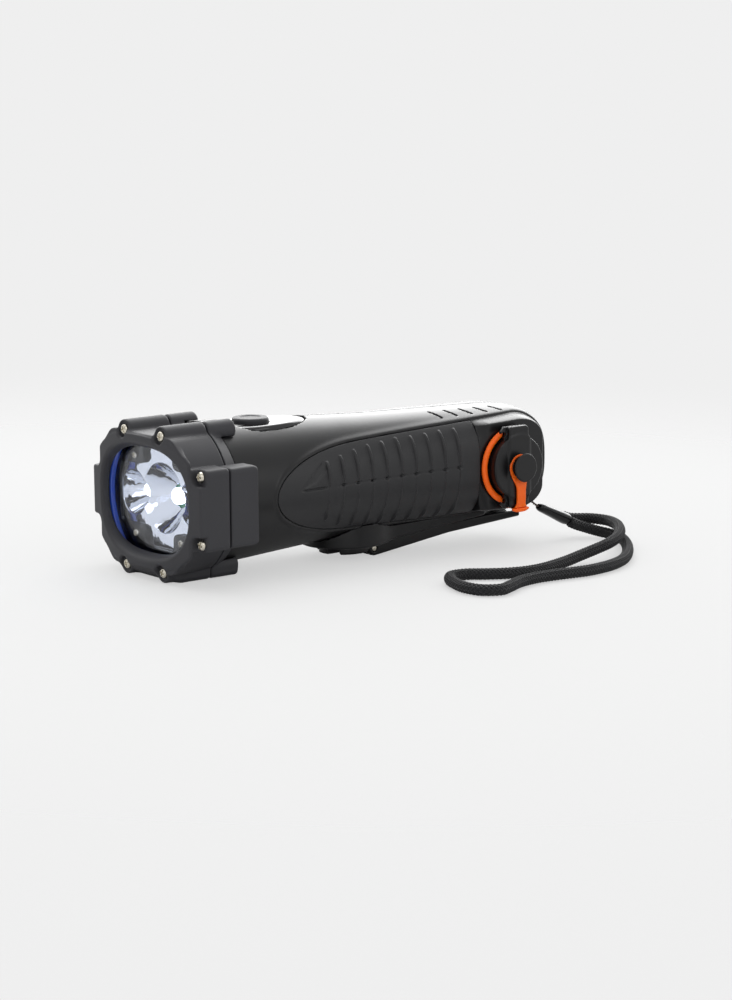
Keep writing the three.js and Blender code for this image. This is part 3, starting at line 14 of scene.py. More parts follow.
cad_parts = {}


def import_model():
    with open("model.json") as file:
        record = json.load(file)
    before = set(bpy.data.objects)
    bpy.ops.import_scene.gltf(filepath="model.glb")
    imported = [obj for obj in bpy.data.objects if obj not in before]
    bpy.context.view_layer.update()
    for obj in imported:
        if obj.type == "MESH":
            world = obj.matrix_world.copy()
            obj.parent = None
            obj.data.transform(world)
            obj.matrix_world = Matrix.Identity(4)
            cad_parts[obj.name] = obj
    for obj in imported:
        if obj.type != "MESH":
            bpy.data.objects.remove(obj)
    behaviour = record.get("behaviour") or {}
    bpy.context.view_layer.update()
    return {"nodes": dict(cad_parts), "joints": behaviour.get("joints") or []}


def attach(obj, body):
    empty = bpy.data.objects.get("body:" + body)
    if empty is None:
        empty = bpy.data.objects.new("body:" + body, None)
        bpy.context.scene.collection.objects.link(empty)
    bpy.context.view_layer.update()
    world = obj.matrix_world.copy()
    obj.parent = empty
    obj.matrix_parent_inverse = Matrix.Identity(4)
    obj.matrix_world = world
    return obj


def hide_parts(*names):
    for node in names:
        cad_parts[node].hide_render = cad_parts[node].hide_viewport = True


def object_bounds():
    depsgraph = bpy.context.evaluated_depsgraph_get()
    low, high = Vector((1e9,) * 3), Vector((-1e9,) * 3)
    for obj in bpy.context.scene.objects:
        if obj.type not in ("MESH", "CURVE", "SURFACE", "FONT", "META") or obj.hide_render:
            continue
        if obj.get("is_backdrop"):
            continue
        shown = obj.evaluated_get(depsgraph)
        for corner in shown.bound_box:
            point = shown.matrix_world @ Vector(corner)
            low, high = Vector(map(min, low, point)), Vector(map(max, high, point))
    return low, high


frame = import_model()

# The torch's place: it is tipped onto its head block and the crank's knuckle. The crank's axis is
# the torch's own z axis, so that joint's direction gives the tilt and its place gives the shift.
METRE = 1000  # mm
CRANK_X, CRANK_FACE = 99.5, -28.0
crank = next(joint for joint in frame["joints"] if joint["name"] == "crank_spin")
TILT = math.atan2(-crank["axis"][0], crank["axis"][2])
TURN = np.array(
    [[math.cos(TILT), 0, -math.sin(TILT)], [0, 1, 0], [math.sin(TILT), 0, math.cos(TILT)]]
)
SHIFT = np.array(crank["pos_m"]) - TURN @ np.array([CRANK_X, 0, CRANK_FACE]) / METRE


def world(points):
    """Torch coordinates in mm to the frame in metres: turn by the tilt, then shift."""
    return np.asarray(points, float) @ TURN.T / METRE + SHIFT


# Camera: 1.22 m off, 38 degrees round from the torch's side and 10 degrees above it, with a long
# lens, as the photograph's flat perspective shows.
CAM_ROUND, CAM_UP, CAM_ROLL = math.radians(-38.0), math.radians(10.2), math.radians(-0.5)
CAM_AIM, CAM_DISTANCE, CAM_SIDE, CAM_RISE = np.array([100.0, 0, 0]), 1221.453, -9.182, 11.003
CAM_LENS, CAM_SENSOR, CAM_REACH = 108, 36, 30
level = np.array([math.cos(CAM_ROUND), math.sin(CAM_ROUND), 0])
back = np.array([level[1] * math.cos(CAM_UP), -level[0] * math.cos(CAM_UP), math.sin(CAM_UP)])
upright = np.cross(back, level)
right = math.cos(CAM_ROLL) * level + math.sin(CAM_ROLL) * upright
upward = math.cos(CAM_ROLL) * upright - math.sin(CAM_ROLL) * level
eye = CAM_AIM + back * CAM_DISTANCE - right * CAM_SIDE - upward * CAM_RISE
camera = bpy.data.objects.new("camera", bpy.data.cameras.new("camera"))
camera.data.lens, camera.data.sensor_width, camera.data.clip_end = CAM_LENS, CAM_SENSOR, CAM_REACH
axes = TURN @ np.stack([right, upward, back], 1)
camera.matrix_world = Matrix.Translation(world(eye)) @ Matrix(axes.tolist()).to_4x4()
bpy.context.scene.collection.objects.link(camera)
bpy.context.scene.camera = camera


# Wrist cord: a 4.8 mm polyester braid, 379 mm long, doubled back into the sleeve on the torch's
# rear corner. It runs out and back over the table and crosses over itself near the sleeve.
CORD_ROUTE = [
    (207, -15.5, 9.3), (209.3, -15.5, 8.5), (214, -16, 7.9), (219, -19, 7.9),
    (221.6, -25.5, 7.9), (219, -35, 7.9), (212.5, -44.5, 7.9), (204.8, -53, 7.8),
    (196.5, -60, 7.3), (188, -64.3, 6.5), (179, -66.2, 5.2), (169.7, -67.9, 3.9),
    (160.9, -70.3, 3), (151.6, -73.3, 2.6), (140.8, -76.8, 2.5), (130.7, -78.2, 2.5),
    (121.5, -76.8, 2.5), (114, -73.6, 2.5), (107, -70, 2.5), (100, -70.3, 2.5),
    (94.6, -75.6, 2.5), (91, -83.4, 2.5), (89, -91.5, 2.5), (91, -99, 2.5),
    (97.5, -102, 2.5), (105.5, -98.6, 2.5), (113.8, -94, 2.5), (123.5, -90.8, 2.5),
    (134.4, -89.6, 2.5), (144.3, -89.7, 2.5), (152.8, -89.7, 2.5), (162, -88, 2.5),
    (172.5, -84.5, 2.5), (183.3, -78.5, 2.5), (192.4, -71, 2.5), (200.6, -62.8, 2.5),
    (208.3, -54, 2.5), (215, -45, 2.5), (219.8, -36.5, 2.5), (221, -29, 2.6),
    (218.6, -24, 3.3), (213.8, -21.3, 4.9), (208.6, -20.6, 6.7), (206.4, -20.6, 7.65),
]
CORD_DIAMETER, CORE_RADIUS, CORD_STEP = 4.8, 1.72, 0.3
STRANDS_EACH_WAY = 8
BRAID_TURN = 13.2  # mm of cord in one turn of a strand: 45 degrees on the cord's surface
STRAND_HALF_WIDTH, STRAND_HALF_DEPTH, STRAND_SWING = 0.66, 0.3, 0.19


def on_floor(points):
    """Floor coordinates in mm (x back from the face, z up from the floor) to the frame in metres."""
    return (np.asarray(points, float) + [SHIFT[0] * METRE, 0, 0]) / METRE


def hermite(t, start, end, start_slope, end_slope):
    """Cubic from start to end while t goes from 0 to 1, with its slopes at both."""
    a = 2 * t**3 - 3 * t**2 + 1
    bend = (t**3 - 2 * t**2 + t) * start_slope + (t**3 - t**2) * end_slope
    return a * start + (1 - a) * end + bend


def smooth_path(points, step):
    """Cubic curve through the points, its slopes from the neighbours on either side, cut into equal
    steps of its own length."""
    p = np.asarray(points, float)
    gap = np.linalg.norm(np.diff(p, axis=0), axis=1)
    rise = np.diff(p, axis=0) / gap[:, None]
    middle = (rise[1:] * gap[:-1, None] + rise[:-1] * gap[1:, None]) / (gap[1:] + gap[:-1])[:, None]
    slope, reach = np.vstack([rise[:1], middle, rise[-1:]])[:, None], gap[:, None, None]
    t = np.linspace(0, 1, 60, endpoint=False)[None, :, None]
    fine = hermite(t, p[:-1, None], p[1:, None], reach * slope[:-1], reach * slope[1:])
    fine = np.vstack([fine.reshape(-1, 3), p[-1:]])
    along = np.concatenate([[0], np.cumsum(np.linalg.norm(np.diff(fine, axis=0), axis=1))])
    even = np.linspace(0, along[-1], int(round(along[-1] / step)) + 1)
    return np.stack([np.interp(even, along, fine[:, i]) for i in range(3)], 1), even


def frames(path):
    """Unit vectors along a path, across it in the level plane, and square to both."""
    ahead = np.gradient(path, axis=0)
    ahead /= np.linalg.norm(ahead, axis=1)[:, None]
    across = np.cross([0.0, 0.0, 1.0], ahead)
    across /= np.linalg.norm(across, axis=1)[:, None]
    return ahead, across, np.cross(ahead, across)


def tube(path, across, over, sides, half_across, half_over):
    """Ellipse carried along a path, all in metres: points, quads and the number of sides."""
    turn = (np.arange(sides) * 2 * np.pi / sides)[None, :, None]
    half_across, half_over = (
        np.broadcast_to(half, len(path))[:, None, None] for half in (half_across, half_over)
    )
    rings = path[:, None] + across[:, None] * np.cos(turn) * half_across
    rings = rings + over[:, None] * np.sin(turn) * half_over
    i, j = np.meshgrid(np.arange(len(path) - 1), np.arange(sides), indexing="ij")
    k, row, next_row = (j + 1) % sides, i * sides, (i + 1) * sides
    quads = np.stack([row + j, row + k, next_row + k, next_row + j], -1)
    return rings.reshape(-1, 3), quads.reshape(-1, 4), sides


def bundle(tubes):
    """Tubes in one mesh: all points, all quads, and the closing faces of every tube's two ends."""
    points, quads, ends, count = [], [], [], 0
    for own_points, own_quads, sides in tubes:
        points.append(own_points)
        quads.append(own_quads + count)
        ring, count = np.arange(sides), count + len(own_points)
        ends += [count - len(own_points) + ring[::-1], count - sides + ring]
    return np.vstack(points), np.vstack(quads), ends


def put(name, points, quads, material, body, replaced=(), normals=None, ends=()):
    """Makes a piece from points in metres and quads, shades it smooth, gives it its material and
    body, and hides the CAD nodes that it stands for. ends are extra faces of any length."""
    mesh = bpy.data.meshes.new(name)
    mesh.from_pydata(points, [], [*quads.tolist(), *[end.tolist() for end in ends]])
    mesh.shade_smooth()
    if normals is not None:
        mesh.normals_split_custom_set_from_vertices(normals.astype(np.float32))
    mesh.materials.append(material)
    piece = bpy.data.objects.new(name, mesh)
    bpy.context.scene.collection.objects.link(piece)
    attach(piece, body)
    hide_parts(*replaced)
    return piece


def colour(code):
    """sRGB hex to linear RGBA: each channel ((c + 0.055) / 1.055) ** 2.4, or c / 12.92 when dark."""
    values = [int(code[i : i + 2], 16) / 255 for i in (1, 3, 5)]
    linear = [((c + 0.055) / 1.055) ** 2.4 if c > 0.04045 else c / 12.92 for c in values]
    return (*linear, 1.0)


def add(owner, kind, sets=None, links=None):
    """Adds a node to a material or world, sets its sockets or properties, and links its inputs."""
    node = owner.node_tree.nodes.new(kind)
    for key, value in (sets or {}).items():
        if key in node.inputs:
            node.inputs[key].default_value = value
        else:
            setattr(node, key, value)
    for key, output in (links or {}).items():
        owner.node_tree.links.new(output, node.inputs[key])
    return node


def finish(name, code, roughness, **sockets):
    """New material with constant values on the shader's own sockets, named with _ for each space;
    returns it and its shader."""
    material = bpy.data.materials.new(name)
    material.use_nodes = True
    shader = material.node_tree.nodes["Principled BSDF"]
    values = {"Base_Color": colour(code), "Roughness": roughness, "IOR": 1.5, "Coat_Roughness": 0.06}
    for key, value in {**values, **sockets}.items():
        shader.inputs[key.replace("_", " ")].default_value = value
    return material, shader


def noise(material, scale, detail, roughness=0.5):
    """Noise on the object's own coordinates; scale is in grains per metre."""
    place = add(material, "ShaderNodeTexCoord").outputs["Object"]
    sets = {"Scale": scale, "Detail": detail, "Roughness": roughness}
    return add(material, "ShaderNodeTexNoise", sets, {"Vector": place}).outputs["Fac"]


def ranged(material, share, low, high):
    """A share from 0 to 1 spread between two values."""
    sets = {"To Min": low, "To Max": high}
    return add(material, "ShaderNodeMapRange", sets, {"Value": share}).outputs["Result"]


def raise_bump(material, shader, height, strength, distance=0.0001):
    """Tips the shader's normal by a height; distance is the height's full range in metres."""
    sets = {"Strength": strength, "Distance": distance}
    bump = add(material, "ShaderNodeBump", sets, {"Height": height})
    material.node_tree.links.new(bump.outputs["Normal"], shader.inputs["Normal"])


def textured(name, codes, roughness, spark, worn, grains, distance=0.0001, **sockets):
    """Surface with two layers of noise. A slow one, some 15 mm wide, moves the roughness by worn. A
    fine one, grains per metre, moves the colour between two hexes and lifts a bump of spark."""
    material, shader = finish(name, codes[0], roughness, **sockets)
    slow, fine = noise(material, 65.0, 4.0, 0.6), noise(material, grains, 2.0, 0.6)
    spread = ranged(material, slow, roughness - worn, roughness + worn)
    tint = add(material, "ShaderNodeMix", {"data_type": "RGBA"}, {0: fine})
    for socket, code in zip((6, 7), codes):
        tint.inputs[socket].default_value = colour(code)
    material.node_tree.links.new(spread, shader.inputs["Roughness"])
    material.node_tree.links.new(tint.outputs[2], shader.inputs["Base Color"])
    raise_bump(material, shader, fine, spark, distance)
    return material


# Polyester braid, dyed black: matt, with the yarns' own sheen. The twist of the fibres in each
# strand is finer than the picture shows, so the waves are drawn 0.3 mm apart.
CORD, cord_shader = finish("polyester_braid_black", "#131315", 0.72, IOR=1.4, Sheen_Weight=0.12)
cord_noise = noise(CORD, 3300.0, 2.0)
cord_tint = add(CORD, "ShaderNodeValToRGB", {}, {"Fac": cord_noise})
for stop, place, code in zip(cord_tint.color_ramp.elements, (0.35, 0.7), ("#0b0b0d", "#1b1b1e")):
    stop.position, stop.color = place, colour(code)
CORD.node_tree.links.new(cord_tint.outputs["Color"], cord_shader.inputs["Base Color"])
raise_bump(CORD, cord_shader, cord_noise, 0.5)

cord_path, cord_along = smooth_path(on_floor(CORD_ROUTE), CORD_STEP / METRE)
ahead, across, over = frames(cord_path)
tubes = [tube(cord_path, across, over, 8, CORE_RADIUS / METRE, CORE_RADIUS / METRE)]
turns = 2 * np.pi * cord_along * METRE / BRAID_TURN
strand_place = CORD_DIAMETER / 2 - STRAND_HALF_DEPTH - STRAND_SWING
for way in (1, -1):
    off_middle = strand_place + way * STRAND_SWING * np.cos(STRANDS_EACH_WAY * turns)
    for k in range(STRANDS_EACH_WAY):
        turn = (2 * np.pi * k / STRANDS_EACH_WAY + way * turns)[:, None]
        outward = across * np.cos(turn) + over * np.sin(turn)
        middle, sideways = cord_path + outward * off_middle[:, None] / METRE, np.cross(ahead, outward)
        halves = STRAND_HALF_WIDTH / METRE, STRAND_HALF_DEPTH / METRE
        tubes.append(tube(middle, sideways, outward, 4, *halves))
points, quads, ends = bundle(tubes)
wrist_cord = put(
    "wrist_cord_braid", points, quads, CORD, "torch", ["wrist_cord"], ends=ends
)

# Sleeve and string: a black heat-shrunk sleeve grips both ends of the cord and the knot of a thin
# two-ply brown string, which loops round the steel bar in the torch's corner.
SLEEVE_ENDS = [(190.1, -18, 15.5), (206.3, -18, 8.6)]
SLEEVE_SHARES = [
    (0, 0.35), (0.02, 0.62), (0.06, 0.86), (0.13, 1.0), (0.45, 1.12), (0.8, 1.3), (0.96, 1.33),
    (1, 1.26),
]
SLEEVE_HALF_HEIGHT, SLEEVE_STRETCH = 1.9, 1.5
STRING_ROUTE = [(184.7, -17.4, 20.6), (185.5, -17.8, 19.4), (187.2, -18, 17.2), (190.4, -18, 15.3)]
STRING_STEP, STRING_PLY, STRING_TURN = 0.15, 0.27, 2.2
SLEEVE, _ = finish("heat_shrunk_sleeve_black", "#08090b", 0.24, IOR=1.4)
STRING, _ = finish("twisted_nylon_brown", "#4a3a33", 0.7, Sheen_Weight=0.2)
start, end = on_floor(SLEEVE_ENDS)
share = np.linspace(0, 1, 60)
path = start + (end - start) * share[:, None]
_, across, over = frames(path)
swell = np.interp(share, *np.transpose(SLEEVE_SHARES)) * SLEEVE_HALF_HEIGHT / METRE
points, quads, ends = bundle([tube(path, across, over, 32, swell * SLEEVE_STRETCH, swell)])
sleeve = put(
    "strap_sleeve", points, quads, SLEEVE, "torch", ["strap_ferrule"], ends=ends
)
path, along = smooth_path(on_floor(STRING_ROUTE), STRING_STEP / METRE)
_, across, over = frames(path)
tubes = []
for way in (0, np.pi):
    turn = (way + 2 * np.pi * along * METRE / STRING_TURN)[:, None]
    middle = path + (across * np.cos(turn) + over * np.sin(turn)) * STRING_PLY / METRE
    tubes.append(tube(middle, across, over, 8, STRING_PLY / METRE, STRING_PLY / METRE))
points, quads, ends = bundle(tubes)
string = put(
    "strap_string_plies", points, quads, STRING, "torch", ["strap_string"], ends=ends
)


# Bezel: the front half of the head, one moulding of dark grey ABS with a fine matt grain. Its face
# plate bulges forward, its mouth is a wide rounded rectangle, and eight screws hold it to the collar.
FACE_UPPER = [
    (0, 26.2), (12, 25.9), (18.3, 25.0), (23.5, 22.9), (28, 20.4), (31.3, 17.8), (34, 14.5), (37, 12),
]
FACE_OUTLINE = FACE_UPPER + [(y, -z) for y, z in FACE_UPPER[::-1]] + [(-30, -26.2), (-30, 26.2)]
FACE_HALF, FACE_SET_BACK, PLATE_DEPTH, BEZEL_REAR = 37.0, 3.3, 3.6, 21.5
BARREL_FRONT_RADIUS, BARREL_RADIUS, BARREL_FLAT = 33.3, 31.5, 26.7
MOUTH = (32.2, 22.9)  # half width and half height of the rim
LIP = (28.9, 20.6, 2.6)  # the same where the mouth's slope ends, and the squareness of both
LIP_PLACE, HEAD_BORE, HEAD_BORE_FLAT = 5.5, 30.4, 24.8
BOSS_SPREAD, BOSS_HEIGHT, BOSS_RADIUS, BOSS_FRONT = 12.5, 26.3, 4.3, 1.6
BLOCK_HALF, BLOCK_BOTTOM, BLOCK_TOP, BLOCK_CORNER = 16.8, -31.0, -24.5, 2.2
BEVEL_PLACE, BEVEL_AHEAD, BEVEL_DOWN = 7.0, 0.53, 0.85
SIDE_HALF, SIDE_INNER, SIDE_FRONT, SIDE_SEAM, SIDE_REAR = 15.9, 27.0, 2.0, 17.4, 31.0
SCREW_Y, SCREW_Z, SIDE_SCREW_Y, SIDE_SCREW_Z = 12.5, 26.6, 33.4, 13.1
SCREW_SEAT, SEAT_RADIUS, SIDE_SEAT, NOTCH_Y, NOTCH_RADIUS = 2.9, 3.0, 6.4, 34.2, 3.2


def both(a, b, edge=0.5):
    """Inside a and b: the larger of two distances, with the corner rounded over a width edge."""
    near = np.maximum(edge - np.abs(a - b), 0) / edge
    return np.maximum(a, b) + near * near * edge / 4


def either(a, b, edge=0.5):
    """Inside a or b, with the inner corner filled over a width edge."""
    return -both(-a, -b, edge)


def without(a, b, edge=0.5):
    """Inside a and outside b."""
    return both(a, -b, edge)


def between(v, low, high):
    """Distance to the slab between two values of one coordinate."""
    return np.abs(v - (low + high) / 2) - (high - low) / 2


def rounded(a, b, half_a, half_b, corner):
    """Distance to a rectangle round the origin with rounded corners."""
    u, v = np.abs(a) - half_a + corner, np.abs(b) - half_b + corner
    return np.hypot(np.maximum(u, 0), np.maximum(v, 0)) + np.minimum(np.maximum(u, v), 0) - corner


def polygon(a, b, corners):
    """Distance to a closed polygon: the nearest edge's, negative inside by the crossings rule."""
    corners = np.asarray(corners, float)
    nearest, sign = np.inf, 1.0
    for (a0, b0), (a1, b1) in zip(corners, np.roll(corners, 1, axis=0)):
        u, v, du, dv = a - a0, b - b0, a1 - a0, b1 - b0
        t = np.clip((u * du + v * dv) / (du * du + dv * dv), 0, 1)
        nearest = np.minimum(nearest, (u - du * t) ** 2 + (v - dv * t) ** 2)
        above, below, left = b >= b0, b < b1, du * v > dv * u
        sign = np.where((above & below & left) | (~above & ~below & ~left), -sign, sign)
    return sign * np.sqrt(nearest)


def squarish(a, b, half_a, half_b, power):
    """Radial distance to a superellipse: r (1 - 1 / q), where q is 1 on the curve."""
    q = ((np.abs(a) / half_a) ** power + (np.abs(b) / half_b) ** power) ** (1 / power)
    r = np.hypot(a, b)
    return r - r / np.maximum(q, 1e-6)


def slopes(shape, points, reach):
    """Gradient of a distance at points, by differences over twice the reach."""
    ways = reach * np.eye(3)
    rise = [shape(*(points + way).T) - shape(*(points - way).T) for way in ways]
    return np.stack(rise, 1) / (2 * reach)


def skin(shape, low, high, step):
    """Zero level of a distance on a grid: one point in each cell that the surface crosses, at the
    mean of the crossings on the cell's edges and then moved down the slope onto the surface, and one
    quad round each crossed edge. Returns points, quads and the slope's direction at each point."""
    lines = [np.arange(a - 2 * step, b + 3 * step, step) for a, b in zip(low, high)]
    value = np.broadcast_to(shape(*np.ix_(*lines)), [line.size for line in lines])
    inside, halves = value < 0, (slice(0, -1), slice(1, None))
    filled = sum(inside[a, b, c].astype(np.int8) for a in halves for b in halves for c in halves)
    crossed = (filled > 0) & (filled < 8)
    cell = np.argwhere(crossed)
    number = np.full(crossed.shape, -1)
    number[crossed] = np.arange(len(cell))
    total, hits, quads = np.zeros((len(cell), 3)), np.zeros(len(cell)), []
    for axis in range(3):
        unit = np.eye(3, dtype=int)[axis]
        for corner in ([0, 0], [0, 1], [1, 0], [1, 1]):
            corner = np.insert(corner, axis, 0)
            v0, v1 = value[tuple((cell + corner).T)], value[tuple((cell + corner + unit).T)]
            hit = (v0 < 0) != (v1 < 0)
            t = v0 / np.where(hit, v0 - v1, 1)
            total += np.where(hit[:, None], corner + t[:, None] * unit, 0)
            hits += hit
        turned, cells = np.moveaxis(inside, axis, 0), np.moveaxis(number, axis, 0)
        i, j, k = np.nonzero((turned[:-1] != turned[1:])[:, 1:-1, 1:-1])
        quad = np.stack([cells[i, j + a, k + b] for a, b in ((0, 0), (1, 0), (1, 1), (0, 1))], 1)
        outward = turned[i, j + 1, k + 1] ^ (axis == 1)
        quads.append(np.where(outward[:, None], quad, quad[:, ::-1]))
    points = (cell + total / hits[:, None]) * step + [line[0] for line in lines]
    for _ in range(3):
        slope = slopes(shape, points, 0.02)
        fall = shape(*points.T) / np.maximum((slope**2).sum(1), 0.2)
        points = points - slope * np.clip(fall, -step / 2, step / 2)[:, None]
    slope = slopes(shape, points, step / 5)
    return points, np.vstack(quads), slope / np.maximum(np.linalg.norm(slope, axis=1), 1e-9)[:, None]


def shaped(name, shape, low, high, step, material, slot, nodes, body="torch"):
    """Piece bounded by the zero level of a distance given in torch coordinates."""
    points, quads, normals = skin(shape, low, high, step)
    return put(name, world(points), quads, material, body, nodes, normals @ TURN.T)


def barrel(x, y, z, grow=0.0):
    """The head's round barrel, a little wider in front, cut flat above and below."""
    widening = (BARREL_FRONT_RADIUS - BARREL_RADIUS) * (BEZEL_REAR - x) / (BEZEL_REAR - PLATE_DEPTH)
    return both(np.hypot(y, z) - (BARREL_RADIUS + widening) - grow, np.abs(z) - BARREL_FLAT, 1.6)


def head_rods(y, z, radius):
    """The two round rods on top and the two below, seen along the barrel."""
    return np.hypot(np.abs(y) - BOSS_SPREAD, np.abs(z) - BOSS_HEIGHT) - radius


def foot_block(y, z):
    """The broad block under the barrel, seen along it."""
    middle, half = (BLOCK_BOTTOM + BLOCK_TOP) / 2, (BLOCK_TOP - BLOCK_BOTTOM) / 2
    return rounded(y, z - middle, BLOCK_HALF, half, BLOCK_CORNER)


def side_blocks(y, z):
    """The two blocks at the sides, seen along the barrel."""
    middle, half = (FACE_HALF + SIDE_INNER) / 2, (FACE_HALF - SIDE_INNER) / 2
    return rounded(np.abs(y) - middle, z, half, SIDE_HALF, BLOCK_CORNER)


def mouth(x, y, z):
    """The mouth's slope: a rounded rectangle that narrows from the rim to the lip."""
    grow = (1 - np.clip(x / LIP_PLACE, 0, 1.2)) ** 2
    halves = [lip + (rim - lip) * grow for lip, rim in zip(LIP, MOUTH)]
    return squarish(y, z, *halves, LIP[2])


def head_bore(y, z, grow=0.0):
    """The bore that holds the lens and the reflector: round, cut flat above and below."""
    return both(np.hypot(y, z) - HEAD_BORE - grow, np.abs(z) - HEAD_BORE_FLAT - grow, 0.8)


def bezel_shape(x, y, z):
    """Barrel, plate, rods, foot block and side blocks, less mouth, bore, screw seats and notches."""
    front = y * y * FACE_SET_BACK / FACE_HALF**2 - x
    plate = both(polygon(np.abs(y), z, FACE_OUTLINE), x - PLATE_DEPTH, 0.6)
    solid = either(both(barrel(x, y, z), between(x, 1.0, BEZEL_REAR), 0.7), plate, 0.9)
    rods = both(head_rods(y, z, BOSS_RADIUS), between(x, BOSS_FRONT, BEZEL_REAR), 1.6)
    bevel = (BEVEL_PLACE - x) * BEVEL_AHEAD + (BLOCK_BOTTOM - z) * BEVEL_DOWN
    block = both(both(foot_block(y, z), between(x, BOSS_FRONT, BEZEL_REAR), 0.7), bevel, 1.2)
    sides = both(side_blocks(y, z), between(x, SIDE_FRONT, SIDE_SEAM), 1.4)
    solid = either(either(solid, rods, 0.9), either(block, sides, 0.4), 0.7)
    solid = both(solid, front, 0.9)
    solid = without(solid, both(mouth(x, y, z), x - LIP_PLACE - 0.8, 0.2), 1.0)
    solid = without(solid, both(head_bore(y, z), LIP_PLACE + 0.1 - x, 0.2), 0.4)
    a, c = np.abs(y), np.abs(z)
    seats = both(np.hypot(a - SCREW_Y, c - SCREW_Z) - SEAT_RADIUS, x - SCREW_SEAT, 0.8)
    corner = np.hypot(np.maximum(NOTCH_Y - a, 0), np.maximum(SIDE_SCREW_Z - c, 0)) - NOTCH_RADIUS
    notches = both(corner, x - SIDE_SEAT, 1.0)
    return without(solid, either(seats, notches, 0.2), 1.1)


# Moulded ABS from a spark-eroded tool: a matt skin with a fine grain that greys the highlights
FACE = textured("spark_grained_abs_grey", ("#232327", "#29292e"), 0.58, 0.16, 0.05, 2600.0)
shaped(
    "bezel_moulding", bezel_shape, (0, -37.2, -31.2), (21.6, 37.2, 31), 0.42, FACE, "face_plastic",
    ["bezel"],
)

# Collar: the rear half of the head, of the same grey ABS. The bezel's screws pull the bezel against
# it; its rods, foot block and side blocks carry on from the bezel's over the body's neck.
COLLAR_FRONT, COLLAR_REAR, COLLAR_REAR_RADIUS, RODS_REAR = 21.8, 28.0, 29.2, 35.0
CORNER_RUN, CORNER_ROUND, NECK_CLEARANCE, HEAD_WALL = 20.0, 2.6, 0.3, 2.6


def collar_shape(x, y, z):
    """A cone cut flat above and below, with rods and blocks, hollow for bezel, neck and bore."""
    t = np.clip((x - COLLAR_FRONT) / (COLLAR_REAR - COLLAR_FRONT), 0, 1)
    cone = np.hypot(y, z) - (BARREL_RADIUS + (COLLAR_REAR_RADIUS - BARREL_RADIUS) * t)
    cone = both(both(cone, np.abs(z) - BARREL_FLAT - 0.2, 1.6), between(x, COLLAR_FRONT, COLLAR_REAR), 0.6)
    rods = both(head_rods(y, z, BOSS_RADIUS - 0.1), between(x, COLLAR_FRONT, RODS_REAR), 1.2)
    block = both(foot_block(y, z), between(x, COLLAR_FRONT, RODS_REAR), 1.2)
    sides = both(side_blocks(y, z), between(x, SIDE_SEAM + 0.3, SIDE_REAR), 0.9)
    corner = rounded(x - SIDE_REAR + CORNER_RUN, z, CORNER_RUN, SIDE_HALF, CORNER_ROUND)
    sides = both(sides, corner, 1.2)
    solid = either(either(cone, rods, 0.8), either(block, sides, 0.3), 0.6)
    bezel_room = both(barrel(x, y, z, 0.3), x - COLLAR_FRONT + 0.05, 0.1)
    neck_room = both(loft(x, y, z, NECK_CLEARANCE), BODY_FRONT - 0.3 - x, 0.1)
    rooms = np.minimum(np.minimum(bezel_room, neck_room), head_bore(y, z, -HEAD_WALL))
    return without(solid, rooms, 0.5)


# Body's outline: each row gives the share of the length, the half height and half width as shares
# of the neck's radius, and the section's squareness, from round at the neck to a soft box.
BODY_ROWS = [
    (0, 1, 1, 2), (0.09, 0.976, 0.976, 2), (0.15, 0.955, 0.955, 2), (0.22, 0.93, 0.93, 2.02),
    (0.31, 0.896, 0.898, 2.08), (0.37, 0.875, 0.88, 2.12), (0.49, 0.836, 0.856, 2.25),
    (0.64, 0.808, 0.85, 2.5), (0.76, 0.786, 0.85, 2.75), (0.87, 0.764, 0.846, 2.9),
    (0.925, 0.73, 0.82, 2.9), (0.962, 0.66, 0.755, 2.8), (0.985, 0.55, 0.64, 2.7), (1, 0.38, 0.46, 2.6),
]
BODY_FRONT, BODY_LENGTH, NECK_RADIUS = 28.3, 167.0, 28.7


def curve_through(rows, places):
    """Cubic through each column of a table, with slopes from the rows on either side."""
    rows = np.asarray(rows, float)
    at, values = rows[:, 0], rows[:, 1:]
    first, last = np.maximum(np.arange(len(at)) - 1, 0), np.minimum(np.arange(len(at)) + 1, len(at) - 1)
    slope = (values[last] - values[first]) / (at[last] - at[first])[:, None]
    i = np.clip(np.searchsorted(at, places, side="right") - 1, 0, len(at) - 2)
    span = (at[i + 1] - at[i])[:, None]
    t = (places[:, None] - at[i][:, None]) / span
    return hermite(t, values[i], values[i + 1], span * slope[i], span * slope[i + 1])


body_shares = np.linspace(0, 1, 1201)
body_places = BODY_FRONT + BODY_LENGTH * body_shares
body_heights, body_widths, body_powers = curve_through(BODY_ROWS, body_shares).T


def loft(x, y, z, grow=0.0):
    """Radial distance to the body's section at x, and past its rear end the distance to that end."""
    wide = NECK_RADIUS * np.interp(x, body_places, body_widths) + grow
    high = NECK_RADIUS * np.interp(x, body_places, body_heights) + grow
    section = squarish(y, z, wide, high, np.interp(x, body_places, body_powers))
    return both(section, x - BODY_FRONT - BODY_LENGTH - grow, 3.0)


shaped(
    "collar_moulding", collar_shape, (16.9, -37.2, -31.2), (34.6, 37.2, 31), 0.45, FACE,
    "shell_plastic", ["head_collar"],
)

# Screws: nickel-plated pan heads with a cross recess. Eight hold the bezel, four the reflector, and
# three, deep in their holes under the right grip, hold the body together.
HEAD_SCREW = (2.1, 1.5, 1.1)  # radius and height of the head, radius of the shank
SMALL_SCREW = (1.6, 1.1, 0.9)
RECESS_HALF_WIDTH, RECESS_REACH, RECESS_DEPTH = 0.36, 0.62, 0.85
THREAD_DEPTH, THREAD_PITCH = 0.09, 0.8
TO_FRONT = np.array([[0, 0, -1], [0, 1, 0], [1, 0, 0]], float)
TO_RIGHT = np.array([[1, 0, 0], [0, 0, -1], [0, 1, 0]], float)

